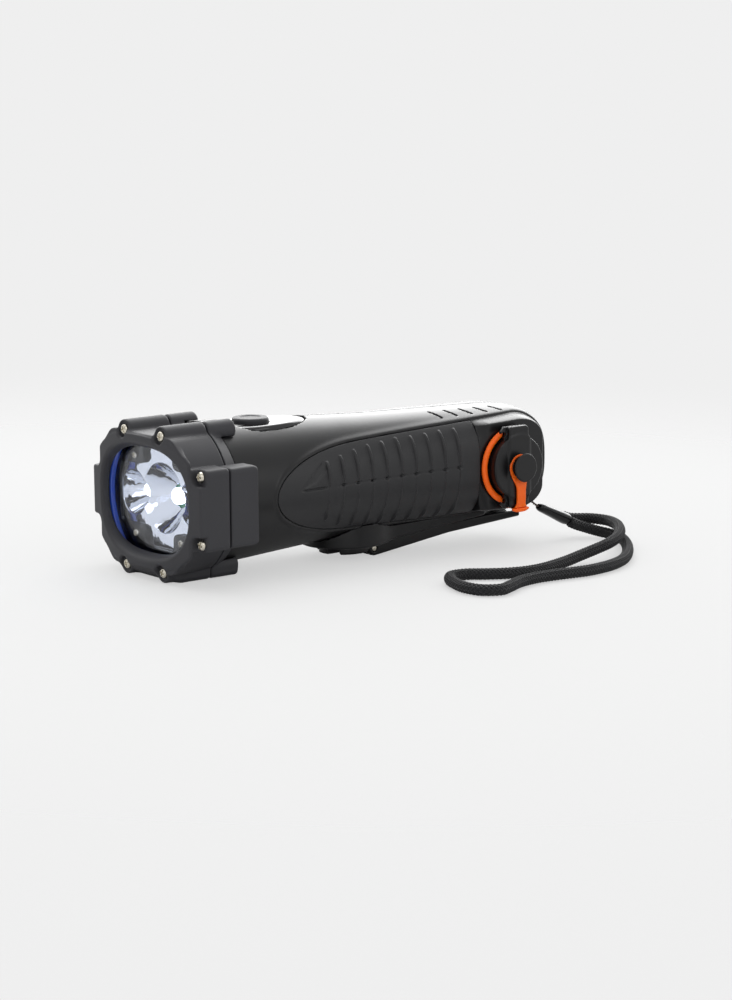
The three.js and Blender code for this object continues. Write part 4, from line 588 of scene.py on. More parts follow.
# Nickel over steel: bright, warm, a little worn from the driver
NICKEL = textured("nickel_plated_steel", ("#d6d1c4", "#c9c3b4"), 0.24, 0.05, 0.08, 2200.0, Metallic=1.0)


def screws(places, sizes, length, step, facing):
    """Copies of one screw; facing turns its own z axis to the torch's, places are its seats."""
    head, height, shank = sizes

    def shape(x, y, z):
        """A low dome over a round rim, on a shank, with a cross cut that narrows to its floor."""
        r, a, b = np.hypot(x, y), np.abs(x), np.abs(y)
        cap = both(both(r - head, -z, 0.25), r * r * 0.1 + z - height, 0.9)
        thread = THREAD_DEPTH * np.sin(2 * np.pi * z / THREAD_PITCH)
        rod = both(r - shank - thread, between(z, -length, 0.1), 0.5)
        half, reach = RECESS_HALF_WIDTH + (z - height) * 0.12, head * RECESS_REACH
        cross = np.minimum(np.maximum(a - half, b - reach), np.maximum(b - half, a - reach))
        return without(either(cap, rod, 0.1), both(cross, height - RECESS_DEPTH - z, 0.2), 0.25)

    edge = head + 0.1
    points, quads, normals = skin(shape, (-edge, -edge, -length), (edge, edge, height), step)
    for number, (name, seat) in enumerate(places.items()):
        angle = 0.5 + 1.3 * number
        cos, sin = math.cos(angle), math.sin(angle)
        turn = facing @ np.array([[cos, -sin, 0], [sin, cos, 0], [0, 0, 1]])
        put(
            name.replace("screw", "screw_cross"), world(points @ turn.T + seat), quads, NICKEL, "torch",
            [name], normals @ turn.T @ TURN.T,
        )


head_places, side_places = {}, {}
for side, y_sign in (("left", 1), ("right", -1)):
    for row, side_row, z_sign in (("top", "upper", 1), ("bottom", "lower", -1)):
        head_seat = (SCREW_SEAT, y_sign * SCREW_Y, z_sign * SCREW_Z)
        side_seat = (SIDE_SEAT, y_sign * SIDE_SCREW_Y, z_sign * SIDE_SCREW_Z)
        head_places[f"bezel_screw_{row}_{side}"] = head_seat
        side_places[f"bezel_screw_{side}_{side_row}"] = side_seat
screws(head_places, HEAD_SCREW, 24.0, 0.16, TO_FRONT)
screws(side_places, HEAD_SCREW, 20.0, 0.16, TO_FRONT)

# Optics: a clear polycarbonate lens in a deep blue silicone seal, a gloss black mask with a window
# shaped like a plus, and behind it three merged parabolic cups in bright vacuum-plated ABS.
LENS_RADIUS, LENS_FLAT, LENS_FRONT, LENS_REAR = 28.0, 22.4, 7.2, 8.0
SEAL = (30.1, 24.5, 5.75, 8.25)  # radius, height of the flats, front and rear, as for the lens
MASK = (30.1, 24.5, 9.4, 11.0)
MIRROR_BLOCK = (29.8, 24.2, 11.3, 20.6)
MASK_WIDE, MASK_TALL, MASK_ROUND = (26.4, 12.2, 2.0), (9.6, 20.0, 2.0), 16.6
PLATE_SCREW_Y, PLATE_SCREW_Z, PLATE_HOLE = 15.4, 15.6, 1.2
CUPS = [(0.0, 14.0, 3.9), (19.9, 8.8, 3.1), (-19.9, 8.8, 3.1)]  # place, rim and floor radius
LEDS = {"center": (0.0, 3.4, 4.05), "left": (19.9, 2.6, 3.85), "right": (-19.9, 2.6, 3.85)}
LED_DOME = 0.55  # share of an LED's height


def flat_disc(x, y, z, radius, flat, front, rear, edge=0.4):
    """A disc across the barrel, cut flat above and below, its rims rounded over a width edge."""
    return both(both(np.hypot(y, z) - radius, np.abs(z) - flat, 0.8), between(x, front, rear), edge)


def lens_shape(x, y, z):
    """A plain flat disc."""
    return flat_disc(x, y, z, LENS_RADIUS, LENS_FLAT, LENS_FRONT, LENS_REAR, 0.5)


def seal_shape(x, y, z):
    """The seal's ring; its front lip is a little narrower than the seat of the lens."""
    room = both(np.hypot(y, z) - LENS_RADIUS - 0.15, np.abs(z) - LENS_FLAT - 0.15, 0.8)
    return without(flat_disc(x, y, z, *SEAL), room, 0.3)


def plate_holes(y, z):
    """Distance to the holes of the four reflector screws."""
    return np.hypot(np.abs(y) - PLATE_SCREW_Y, np.abs(z) - PLATE_SCREW_Z) - PLATE_HOLE


def mask_shape(x, y, z):
    """The mask's plate less its window: a circle crossed by a wide and a tall rectangle."""
    arms = np.minimum(rounded(y, z, *MASK_WIDE), rounded(y, z, *MASK_TALL))
    window = either(np.hypot(y, z) - MASK_ROUND, arms, 1.6)
    return without(flat_disc(x, y, z, *MASK), np.minimum(window, plate_holes(y, z)), 0.6)


def reflector_shape(x, y, z):
    """A block with three parabolic cups, each open at the back round its LED."""
    front, rear = MIRROR_BLOCK[2:]
    cuts = plate_holes(y, z)
    for place, rim, floor_radius in CUPS:
        square = floor_radius**2 + (rim**2 - floor_radius**2) * (rear - x) / (rear - front)
        cuts = np.minimum(cuts, np.hypot(y - place, z) - np.sqrt(np.maximum(square, floor_radius**2)))
    return without(flat_disc(x, y, z, *MIRROR_BLOCK), cuts, 0.4)


# Injection-moulded ABS from a polished tool: black, wet-looking, with a faint swirl in its skin
GLOSS = textured("polished_abs_black", ("#0b0b0d", "#0e0e11"), 0.13, 0.02, 0.03, 240.0)
BLUE, blue_shader = finish(
    "silicone_deep_blue", "#1c3f9e", 0.28, Coat_Weight=0.5, Subsurface_Weight=0.3, Subsurface_Scale=0.001
)
raise_bump(BLUE, blue_shader, noise(BLUE, 900.0, 2.0), 0.06)


def see_through(material, shader, share):
    """Mixes a share of plain transparency into a material."""
    plain = add(material, "ShaderNodeBsdfTransparent")
    sources = {0: share, 1: shader.outputs[0], 2: plain.outputs[0]}
    mix = add(material, "ShaderNodeMixShader", {}, sources)
    material.node_tree.links.new(mix.outputs[0], material.node_tree.nodes["Material Output"].inputs[0])


# Clear polycarbonate: glass to every ray but a shadow ray, which it lets through
CLEAR, clear_shader = finish("clear_polycarbonate", "#f6f9ff", 0.02, IOR=1.3, Transmission_Weight=1.0)
worn = ranged(CLEAR, noise(CLEAR, 90.0, 1.0), 0.0, 0.04)
CLEAR.node_tree.links.new(worn, clear_shader.inputs["Roughness"])
see_through(CLEAR, clear_shader, add(CLEAR, "ShaderNodeLightPath").outputs["Is Shadow Ray"])

# Vacuum-plated aluminium, with the soft waves of the plastic under it
MIRROR = textured(
    "vacuum_plated_aluminium", ("#eef0f4", "#e4e8f0"), 0.05, 0.5, 0.02, 150.0, 0.0006, Metallic=1.0
)

# LED: bluish white silicone over its chip, glowing softly
LED_WHITE, led_shader = finish(
    "led_silicone_white", "#eef3ff", 0.2, Coat_Weight=1.0, Emission_Color=colour("#dfe8ff")
)
glow = ranged(LED_WHITE, noise(LED_WHITE, 700.0, 2.0), 5.0, 7.0)
LED_WHITE.node_tree.links.new(glow, led_shader.inputs["Emission Strength"])

for name, shape, front, rear, step, material, slot, node in (
    ("lens_window", lens_shape, 7.1, 8.1, 0.32, CLEAR, "clear_lens", "lens"),
    ("lens_seal", seal_shape, 5.7, 8.3, 0.32, BLUE, "blue_seal", "lens_gasket"),
    ("mask_plate", mask_shape, 9.3, 11.1, 0.36, GLOSS, "gloss_plastic", "reflector_mask"),
    ("reflector_cups", reflector_shape, 11.2, 20.7, 0.5, MIRROR, "reflector_mirror", "reflector"),
):
    shaped(name, shape, (front, -30.2, -24.6), (rear, 30.2, 24.6), step, material, slot, [node])
for led, (place, radius, height) in LEDS.items():
    base, dome = MIRROR_BLOCK[3], height * LED_DOME

    def led_shape(x, y, z):
        """A short cylinder with a domed front."""
        run = np.maximum(base - height + dome - x, 0) / dome
        q = np.sqrt(((y - place) ** 2 + z**2) / radius**2 + run**2)
        return both((q - 1) * radius, x - base, 0.3)

    low, high = (base - height, place - radius, -radius), (base, place + radius, radius)
    shaped(f"led_dome_{led}", led_shape, low, high, 0.25, LED_WHITE, "led_white", [f"led_{led}"])
corners = [(y, z) for y in (PLATE_SCREW_Y, -PLATE_SCREW_Y) for z in (PLATE_SCREW_Z, -PLATE_SCREW_Z)]
plate_places = {f"reflector_screw_{n}": (MASK[2], *corner) for n, corner in enumerate(corners, 1)}
screws(plate_places, SMALL_SCREW, 6.0, 0.14, TO_FRONT)

# Body shells: two ABS halves, 2.6 mm thick, that meet at a fine seam along the top and bottom. A low
# crest runs round each side's long oval; behind the right grip the oval is flat, with the port's bore.
SHELL_WALL, SEAM_HALF = 2.6, 0.12
OVAL_FRONT, OVAL_NOSE, OVAL_REAR = 46.5, 47.5, 189.0
OVAL_MIDDLE, OVAL_HALF, OVAL_SPREAD = -1.1, 17.6, 0.0323
SPREAD_FRONT, CREST_HEIGHT, CREST_HALF, CREST_OUT, OVAL_SUNK, OVAL_STEP = 90.0, 0.5, 0.85, 1.0, 0.45, 0.3
SIDE_FROM, SIDE_RUN, FLAT_FROM, FLAT_RUN, FLAT_INSIDE = 9.0, 3.0, 149.0, 9.0, 2.2
GRIP_REAR, GRIP_POCKET, GRIP_LEAN, LEAN_TOP, LEAN_RUN = 152.3, 1.3, 2.0, -6.0, 13.0
PORT_X, PORT_Z, PORT_FACE, PORT_BORE = 169.2, -1.3, -23.7, 11.4
SLOT_FIRST, SLOT_PITCH, SLOT_Y, SLOT_RUN, SLOT_HALF, SLOT_DEPTH = 138.8, 8.0, 11.7, (1.1, 2.75), 0.5, 1.0
PLATE_MIDDLE, PLATE_REACH, PLATE_FRONT_REACH, PLATE_HALF, PLATE_POWER = 51.5, 27.6, 13.2, 13.0, 2.7
BUTTON_X, BUTTON_RADIUS, BUTTON_TOP, PLATE_TOP, PLATE_DEEP = 53.7, 7.4, 28.0, 25.9, 1.35
SHAFT_RADIUS = 2.9
EYE_X, EYE_Y, EYE_Z, EYE_BORE = 184.9, -17.4, -17.0, 1.3


def oval(x, z):
    """Distance outside a side's long oval: a round nose, then sides that part towards the rear."""
    half = OVAL_HALF + np.maximum(x - SPREAD_FRONT, 0) * OVAL_SPREAD
    along, over = np.minimum(x - OVAL_FRONT - OVAL_NOSE, 0) / OVAL_NOSE, (z - OVAL_MIDDLE) / half
    slope = 2 * np.sqrt((along / OVAL_NOSE) ** 2 + (over / half) ** 2)
    return both((along**2 + over**2 - 1) / np.maximum(slope, 0.01), x - OVAL_REAR, 14.0)


def step_at(v, width):
    """A soft step from 1 to 0 where v passes 0."""
    return 1 / (1 + np.exp(np.clip(v / width, -30, 30)))


def grip_end(z):
    """Place of the grip's rear edge, which leans back towards the bottom."""
    return GRIP_REAR + GRIP_LEAN * np.clip((LEAN_TOP - z) / LEAN_RUN, 0, 1) ** 2


def plate_plan(x, y):
    """Distance to the button plate's outline: blunt in front, drawn out behind."""
    u, v = x - PLATE_MIDDLE, y / PLATE_HALF
    front = (np.abs(u / PLATE_FRONT_REACH) ** PLATE_POWER + np.abs(v) ** PLATE_POWER) ** (1 / PLATE_POWER)
    return (np.where(u > 0, np.hypot(u / PLATE_REACH, v), front) - 1) * PLATE_HALF


def slot_plan(x, y):
    """Distance to the nearest slanted slot of either row on top of the body."""
    number = np.clip(np.round((x - SLOT_FIRST) / SLOT_PITCH), 0, 4)
    u, v = x - SLOT_FIRST - number * SLOT_PITCH, np.abs(y) - SLOT_Y
    reach = math.hypot(*SLOT_RUN)
    t = np.clip((u * SLOT_RUN[0] + v * SLOT_RUN[1]) / reach, -reach, reach)
    return np.hypot(u - t * SLOT_RUN[0] / reach, v - t * SLOT_RUN[1] / reach) - SLOT_HALF


def button_round(x, y):
    """Distance to the button's bore."""
    return np.hypot(x - BUTTON_X, y) - BUTTON_RADIUS - 0.3


def crank_round(x, y, radius):
    """Distance to a circle round the crank's axis."""
    return np.hypot(x - CRANK_X, y) - radius


def port_round(x, z, radius):
    """Distance to a circle round the charging port's axis."""
    return np.hypot(x - PORT_X, z - PORT_Z) - radius


def body_shell(x, y, z):
    """Both shells in one piece: crest, sunk oval, grip pockets, slots and the plate's recess."""
    skin_at, edge = loft(x, y, z), oval(x, z)
    crest = CREST_HEIGHT * np.exp(-(((edge - CREST_OUT) / CREST_HALF) ** 2))
    sunk = OVAL_SUNK * step_at(edge, OVAL_STEP)
    outer = skin_at - (crest - sunk) * np.clip((np.abs(y) - SIDE_FROM) / SIDE_RUN, 0, 1)
    flat = np.clip((x - FLAT_FROM) / FLAT_RUN, 0, 1) * np.clip(-edge / FLAT_INSIDE, 0, 1)
    flat = flat * np.clip(-y / SIDE_FROM - 1, 0, 1)
    flat = flat**2 * (3 - 2 * flat)
    outer = both(outer * (1 - flat) + (PORT_FACE - y) * flat, BODY_FRONT - x, 0.3)
    pocket = both(both(edge + 0.05, x - grip_end(z) - 0.05, 0.4), -skin_at - GRIP_POCKET, 0.1)
    outer = without(outer, both(pocket, SIDE_FROM - np.abs(y), 0.1), 0.2)
    slot_room = both(slot_plan(x, y), -skin_at - SLOT_DEPTH, 0.1)
    plate_room = both(plate_plan(x, y) - 0.2, -skin_at - PLATE_DEEP, 0.1)
    plate_room = np.minimum(plate_room, both(plate_plan(x, y) - 0.2, PLATE_TOP - z, 0.1))
    outer = without(outer, both(np.minimum(slot_room, plate_room), 5 - z, 0.1), 0.35)
    inner = both(loft(x, y, z, -SHELL_WALL), x - BODY_FRONT - BODY_LENGTH + 2 * SHELL_WALL, 2.0)
    holes = both(button_round(x, y), 5 - z, 0.1)
    holes = np.minimum(holes, both(crank_round(x, y, SHAFT_RADIUS + 0.3), z + 5, 0.1))
    holes = np.minimum(holes, both(port_round(x, z, PORT_BORE), y + 5, 0.1))
    eye = np.hypot(np.hypot(x - EYE_X, z - EYE_Z), y - EYE_Y) - EYE_BORE
    return without(without(outer, np.minimum(holes, eye), 0.5), inner, 0.3)


# The shells' ABS: black, from a tool with the same fine grain
SHELL = textured("spark_grained_abs_black", ("#0b0b0d", "#0f0f11"), 0.33, 0.12, 0.04, 2600.0, IOR=1.4)
body_front, body_rear = BODY_FRONT - 0.1, BODY_FRONT + BODY_LENGTH + 0.6
for side, sign, low_y, high_y in (("right", -1, -29.2, 0), ("left", 1, 0, 29.2)):
    shaped(
        f"body_moulding_{side}",
        lambda x, y, z: both(body_shell(x, y, z), SEAM_HALF - y * sign, 0.3),
        (body_front, low_y, -29.2), (body_rear, high_y, 29.2), 0.62, SHELL, "shell_plastic",
        [f"body_shell_{side}"],
    )

# Grips: two panels of soft-touch thermoplastic rubber, pressed into their pockets. Each has ten
# lens-shaped ribs, a crease along its middle and a sunk leaf before the first rib.
RIB_FIRST, RIB_PITCH, RIB_HEIGHT, RIB_HALF, GRIP_PROUD, GRIP_THICKNESS = 72.9, 7.6, 1.15, 0.95, 0.15, 0.9
RIB_TOPS = (10.9, 12.3, 13.8, 14.9, 15.3, 16.0, 15.9, 16.2, 16.5, 16.6)
RIB_BOTTOMS = (-13.1, -16.2, -17.4, -18.4, -19.2, -19.8, -20.0, -20.2, -20.4, -20.6)
SWELL, LEVEL_PART, LOWER_PART, LOWER_END, END_FROM = 2.35, 0.12, 0.16, 0.7, 0.65
NOTCH_DEPTH, NOTCH_HALF, CREASE_DEPTH, CREASE_HALF = 0.8, (1.1, 0.5), (0.08, 0.5), 0.4
CREASE_Z, CREASE_FRONT, CREASE_REAR = 0.7, 58.6, 141.0
LEAF = [(58.6, 0.9), (60.3, 2.6), (63.1, 4.9), (67, 8.0), (71.3, 10.9), (72.1, 7.6), (66, 3.4)]
LEAF_DEPTH, LEAF_STEP, LEAF_REAR = 0.3, 0.2, 72.0


def grip_relief(x, z):
    """Height of the grip's skin over the body's own outline."""
    lift, v = GRIP_PROUD + 0 * x * z, z - CREASE_Z
    for number, (top, bottom) in enumerate(zip(RIB_TOPS, RIB_BOTTOMS)):
        u = np.where(v > 0, v / (top - CREASE_Z), v / (bottom - CREASE_Z))
        swell = np.clip(u, 0, 1) ** 1.1 * np.clip(1 - u, 0, 1) ** 0.45 * SWELL
        swell = swell * np.where(v > 0, 1, LOWER_PART + LOWER_END * np.clip((u - END_FROM) * 5, 0, 1))
        across = x - RIB_FIRST - number * RIB_PITCH
        ridge = np.clip(1 - (across / (RIB_HALF * np.sqrt(swell) + 0.1)) ** 2, 0, 1)
        lift = lift + RIB_HEIGHT * (LEVEL_PART * (u < 1) + swell) * ridge
        if number:
            lift = lift - NOTCH_DEPTH * np.exp(-((across / NOTCH_HALF[0]) ** 2) - (v / NOTCH_HALF[1]) ** 2)
    run = np.clip((x - CREASE_FRONT) / 1.5, 0, 1) * np.clip((CREASE_REAR - x) / 4, 0, 1)
    depth = CREASE_DEPTH[0] + CREASE_DEPTH[1] * np.clip((LEAF_REAR - x) / 0.8, 0, 1)
    lift = lift - depth * run * np.exp(-((v / CREASE_HALF) ** 2))
    return lift - LEAF_DEPTH * step_at(polygon(x, z, LEAF), LEAF_STEP)


def grip_shape(x, y, z):
    """The ribbed skin over a level underside, cut to the oval and at the grip's rear edge."""
    panel = both(loft(x, y, z) - grip_relief(x, z), -loft(x, y, z, -GRIP_THICKNESS), 0.1)
    return both(panel, both(oval(x, z) + 0.02, x - grip_end(z), 0.8), 0.3)


# Thermoplastic rubber: dark and dull, with a fine grain
RUBBER = textured("thermoplastic_rubber_dark", ("#151517", "#1a1a1d"), 0.42, 0.2, 0.06, 3200.0, IOR=1.45)
for side, low_y, high_y in (("right", -28.5, -9), ("left", 9, 28.5)):
    low, high = (OVAL_FRONT - 0.4, low_y, -20.6), (GRIP_REAR + 2.3, high_y, 19.6)
    shaped(f"grip_ribbed_{side}", grip_shape, low, high, 0.44, RUBBER, "grip_rubber", [f"grip_{side}"])

# Button: a shallow dished disc of grained grey ABS in a teardrop plate of gloss black, let into the
# top. The plate is level, so its sides stand proud of the body's curve; their edge is well rounded.
BUTTON_FALL, DISH_RADIUS, DISH_DEPTH, DISH_STEP, BUTTON_BASE = 0.004, 4.1, 0.5, 0.22, 24.2


def plate_shape(x, y, z):
    """The plan under a level top and over the body's skin, less the button's bore."""
    plate = both(plate_plan(x, y), z - PLATE_TOP + 0.05, 1.9)
    under = np.minimum(-loft(x, y, z, -1.1), PLATE_TOP - 1.5 - z)
    return without(both(both(plate, under, 0.1), 10 - z, 0.1), button_round(x, y), 0.4)


def button_shape(x, y, z):
    """A disc with a rounded rim, dished in its middle with a soft step round the dish."""
    r = np.hypot(x - BUTTON_X, y)
    top = BUTTON_TOP - BUTTON_FALL * r * r - DISH_DEPTH * step_at(r - DISH_RADIUS, DISH_STEP)
    return both(both(r - BUTTON_RADIUS, z - top, 1.1), BUTTON_BASE - z, 0.3)


shaped(
    "button_surround", plate_shape, (38.1, -13.1, 21.5), (80.2, 13.1, 25.9), 0.28, GLOSS,
    "gloss_plastic", ["button_plate"],
)
shaped(
    "button_dish", button_shape, (46.2, -7.5, 24.1), (61.2, 7.5, 28.1), 0.22, FACE,
    "gloss_plastic", ["power_button"], "button",
)
BODY_SCREWS = {
    "body_screw_front": (72.0, -17.15, -12.5),
    "body_screw_middle": (120.0, -17.15, 14.3),
    "body_screw_rear": (154.0, -17.15, -12.5),
}
screws(BODY_SCREWS, SMALL_SCREW, 25.0, 0.16, TO_RIGHT)

# Crank: a pedestal and rail under the body, and below them a hub disc whose tongue carries the arm's
# hinge. The arm is a long fork, folded back along the rail; its flat tip holds the knob.
PEDESTAL_RADIUS, RAIL_HALF, RAIL_REAR, RAIL_CORNER = 17.8, 12.0, 168.0, 4.0
RAIL_LINE = ((80.0, 112.5, 120.0, 150.0, 164.5, 172.0), (-28.4, -28.4, -27.3, -24.9, -23.7, -21.4))
HUB_TOP, HUB_BOTTOM, HUB_RADIUS, HUB_WEB, HUB_BORE = -28.7, -32.0, 10.8, -29.4, 2.4
SHAFT_STEP, SHAFT_TOP = -14.3, -5.2
TONGUE_HALF, HINGE_X, HINGE_Z, KNUCKLE_RADIUS, HINGE_HOLE = 2.95, 110.5, -31.65, 2.95, 1.4
ARM_HALF, ARM_REAR, ARM_CORNER, ARM_AHEAD, FORK_LENGTH, FORK_GAP = 7.0, 189.2, 1.0, 6.0, 24.0, 0.3
ARM_SIDE = [
    (110.5, -28.7), (116, -28.75), (150, -25.85), (170.5, -24.75), (189.2, -24.8), (189.2, -27.5),
    (150, -29.9), (111.2, -34.6), (108.2, -32.5),
]
PIN_RADIUS, PIN_HALF = 1.25, 6.9
KNOB_X, KNOB_HOLE, KNOB_RADIUS, KNOB_TOP, KNOB_BOTTOM, GROOVE_Z = 180.0, 1.8, 5.8, -22.1, -24.3, -23.2


def base_shape(x, y, z):
    """Pedestal and rail, level in front and rising to the rear, cut to the body's own curve."""
    middle, half = (CRANK_X + RAIL_REAR) / 2, (RAIL_REAR - CRANK_X) / 2
    rail = rounded(x - middle, y, half, RAIL_HALF, RAIL_CORNER)
    plan = either(crank_round(x, y, PEDESTAL_RADIUS), rail, 5.0)
    solid = both(plan, np.interp(x, *RAIL_LINE) - z, 0.9)
    room = np.minimum(loft(x, y, z, 0.25), crank_round(x, y, SHAFT_RADIUS + 0.3))
    return without(both(solid, z + 12, 0.2), room, 0.15)


def hinge_round(x, z, radius):
    """Distance to a circle round the hinge's axis."""
    return np.hypot(x - HINGE_X, z - HINGE_Z) - radius


def hub_shape(x, y, z):
    """Disc with two grooves for the fork, a tongue with its knuckle, and the stepped shaft."""
    a = np.abs(y)
    disc = both(crank_round(x, y, HUB_RADIUS), between(z, HUB_BOTTOM, HUB_TOP), 1.0)
    groove = np.minimum(z - HUB_WEB, CRANK_X + 2.5 - x)
    disc = without(disc, both(between(a, TONGUE_HALF, ARM_HALF + 0.35), groove, 0.2), 0.4)
    tongue = both(between(x, CRANK_X, HINGE_X), between(z, HUB_BOTTOM, HUB_TOP), 0.3)
    tongue = np.minimum(tongue, hinge_round(x, z, KNUCKLE_RADIUS))
    solid = np.minimum(disc, both(tongue, a - TONGUE_HALF, 0.5))
    shaft = crank_round(x, y, np.where(z < SHAFT_STEP, SHAFT_RADIUS, HUB_BORE))
    solid = np.minimum(solid, both(shaft, between(z, HUB_TOP - 0.2, SHAFT_TOP), 0.3))
    return without(solid, hinge_round(x, z, HINGE_HOLE), 0.3)


def arm_shape(x, y, z):
    """A bar with a bent side view, forked at the hinge and rounded at its tip."""
    side_view = np.minimum(polygon(x, z, ARM_SIDE), hinge_round(x, z, KNUCKLE_RADIUS))
    middle, half = (HINGE_X - ARM_AHEAD + ARM_REAR) / 2, (ARM_REAR - HINGE_X + ARM_AHEAD) / 2
    solid = both(side_view, rounded(x - middle, y, half, ARM_HALF, ARM_CORNER), 0.9)
    end = HINGE_X + FORK_LENGTH - TONGUE_HALF - FORK_GAP
    fork = np.hypot(np.maximum(x - end, 0), y) - TONGUE_HALF - FORK_GAP
    holes = np.minimum(hinge_round(x, z, HINGE_HOLE), np.hypot(x - KNOB_X, y) - KNOB_HOLE)
    return without(without(solid, fork, 0.7), holes, 0.3)


def pin_shape(x, y, z):
    """The hinge pin, its ends domed a little."""
    r = hinge_round(x, z, 0)
    return both(r - PIN_RADIUS, np.abs(y) - PIN_HALF + 0.12 * r * r, 0.3)


def knob_shape(x, y, z):
    """A small round knob between the arm's tip and the rail, with a groove for the fingertip."""
    r = np.hypot(x - KNOB_X, y)
    grip = r - KNOB_RADIUS + 0.5 * np.exp(-(((z - GROOVE_Z) / 0.45) ** 2))
    return without(both(grip, between(z, KNOB_BOTTOM, KNOB_TOP), 0.5), r - KNOB_HOLE, 0.2)


CRANK_PIECES = [
    ("crank_pedestal", base_shape, (81.6, -17.9, -28.5), (168.2, 17.9, -12.5), 0.5, SHELL, "crank_base"),
    ("crank_disc", hub_shape, (88.6, -10.9, -34.7), (113.6, 10.9, -5.1), 0.36, SHELL, "crank_hub"),
    ("crank_fork", arm_shape, (107.4, -7.1, -34.7), (189.3, 7.1, -24.5), 0.42, SHELL, "crank_arm"),
    ("hinge_dowel", pin_shape, (109.2, -7, -33), (111.8, 7, -30.3), 0.16, NICKEL, "hinge_pin"),
    ("crank_knob_grooved", knob_shape, (174.1, -5.9, -24.4), (185.9, 5.9, -22), 0.25, GLOSS, "crank_knob"),
]
CRANK_SLOTS = {SHELL: "shell_plastic", NICKEL: "steel", GLOSS: "gloss_plastic"}
for (*piece, node), body in zip(CRANK_PIECES, ("torch", "crank", "arm", "crank", "knob")):
    shaped(*piece, CRANK_SLOTS[piece[-1]], [node], body)

# Charging port: an orange silicone arc hinges the plug cap on its front side, its ends held in two eyes
# of the cap's brackets. An orange keyhole strap hugs the knob's neck; its rounded foot is under the cap.
RING_MIDDLE, RING_PLACE, RING_HALF_WIDTH, RING_HALF_DEPTH, RING_END = 15.0, -24.9, 1.35, 0.95, 5.9
CAP_FRONT, CAP_BACK, CAP_RADIUS = -29.5, -26.1, 13.1
CORE_WIDE, CORE_BACK, PLUG_RADIUS, PLUG_FRONT, PLUG_END, PLUG_BORE = 12.9, -24.1, 9.8, -24.6, -16.2, 8.2
KNOB_HEAD, KNOB_NECK, KNOB_FRONT, KNOB_BACK = 6.25, 4.0, -33.9, -33.0
TAB_HALF, TAB_REACH, TAB_CORNER, WING_FRONT, WING_BACK = 5.3, 17.0, 1.5, -27.8, -26.1
EYE_PLACE, EYE_HEIGHT, EYE_RADIUS, EYE_DEPTH, WING_CUT = 6.6, 13.8, 0.75, -25.9, 16.5
LOOP_INNER, LOOP_OUTER, STRAP_HALF, STRAP_FLARE, STRAP_THICKNESS = 4.15, 5.3, 2.3, 2.2, 1.2
STRAP_LINE = ((-17.2, -13.0, -8.0, -4.0), (-30.8, -31.2, -31.2, -30.3))
WING_OUTLINE = [(0, 10.6), (8.5, 10.6), (8.5, 15.1), (6.6, 17.0), (0, 17.0)]
FOOT_HALF, FOOT_TOP, FOOT_BOTTOM, FOOT_FRONT, FOOT_REAR, FOOT_CURVE = 4.7, -18.45, -20.4, -30.8, -14.0, 9.0
RISE_FRONT, RISE_SLOPE, RISE_MOST, RISE_IN = -29.8, 0.7, 1.4, 1.6


def ring_shape(x, y, z):
    """An oval bar bent to a circle and cut off under the cap's brackets."""
    off_middle = (port_round(x, z, RING_MIDDLE) / RING_HALF_WIDTH, (y - RING_PLACE) / RING_HALF_DEPTH)
    return both((np.hypot(*off_middle) - 1) * RING_HALF_DEPTH, x - PORT_X + RING_END, 0.4)


def cap_shape(x, y, z):
    """Disc, mushroom knob, two tabs with brackets behind them, and a hollow plug in the port's bore."""
    r, u, v = port_round(x, z, 0), x - PORT_X, z - PORT_Z
    slab = between(y, CAP_FRONT, CAP_BACK)
    tabs = both(rounded(u, v, TAB_HALF, TAB_REACH, TAB_CORNER), slab, 1.0)
    plate = either(both(r - CAP_RADIUS, slab, 0.9), tabs, 1.6)
    knob = both(r - KNOB_HEAD + 0.25, between(y, KNOB_FRONT, KNOB_BACK), 0.7)
    knob = either(knob, both(r - KNOB_NECK, between(y, KNOB_FRONT + 0.4, CAP_FRONT + 1), 0.2), 0.6)
    wings = both(polygon(-u, np.abs(v), WING_OUTLINE), between(y, WING_FRONT, WING_BACK), 0.5)
    wings = without(wings, both(r - WING_CUT, u + EYE_PLACE, 0.3), 0.3)
    core = both(r - CORE_WIDE, between(y, CAP_BACK - 0.5, CORE_BACK), 0.4)
    plug = both(r - PLUG_RADIUS, between(y, PLUG_FRONT, PLUG_END), 0.7)
    solid = np.minimum(either(plate, knob, 0.5), np.minimum(wings, np.minimum(core, plug)))
    eyes = np.hypot(u + EYE_PLACE, np.abs(v) - EYE_HEIGHT) - EYE_RADIUS
    cuts = np.minimum(both(r - PLUG_BORE, -23 - y, 0.4), both(eyes, y - EYE_DEPTH, 0.1))
    return without(solid, cuts, 0.3)


def strap_shape(x, y, z):
    """The loop round the knob's neck, and the band that runs down from it, wider again at its end."""
    r, u, v = port_round(x, z, 0), x - PORT_X, z - PORT_Z
    half = STRAP_HALF + STRAP_FLARE * np.clip((-14.8 - v) / 3.0, 0, 1) ** 2
    band = both(np.abs(u) - half, both(v + 2, FOOT_TOP + 0.15 - z, 0.2), 0.4)
    plan = without(either(r - LOOP_OUTER, band, 5.5), r - LOOP_INNER, 0.2)
    front = np.interp(v, *STRAP_LINE)
    back = np.minimum(front + STRAP_THICKNESS, CAP_FRONT + 0.1)
    return both(plan, np.maximum(front - y, y - back), 0.6)


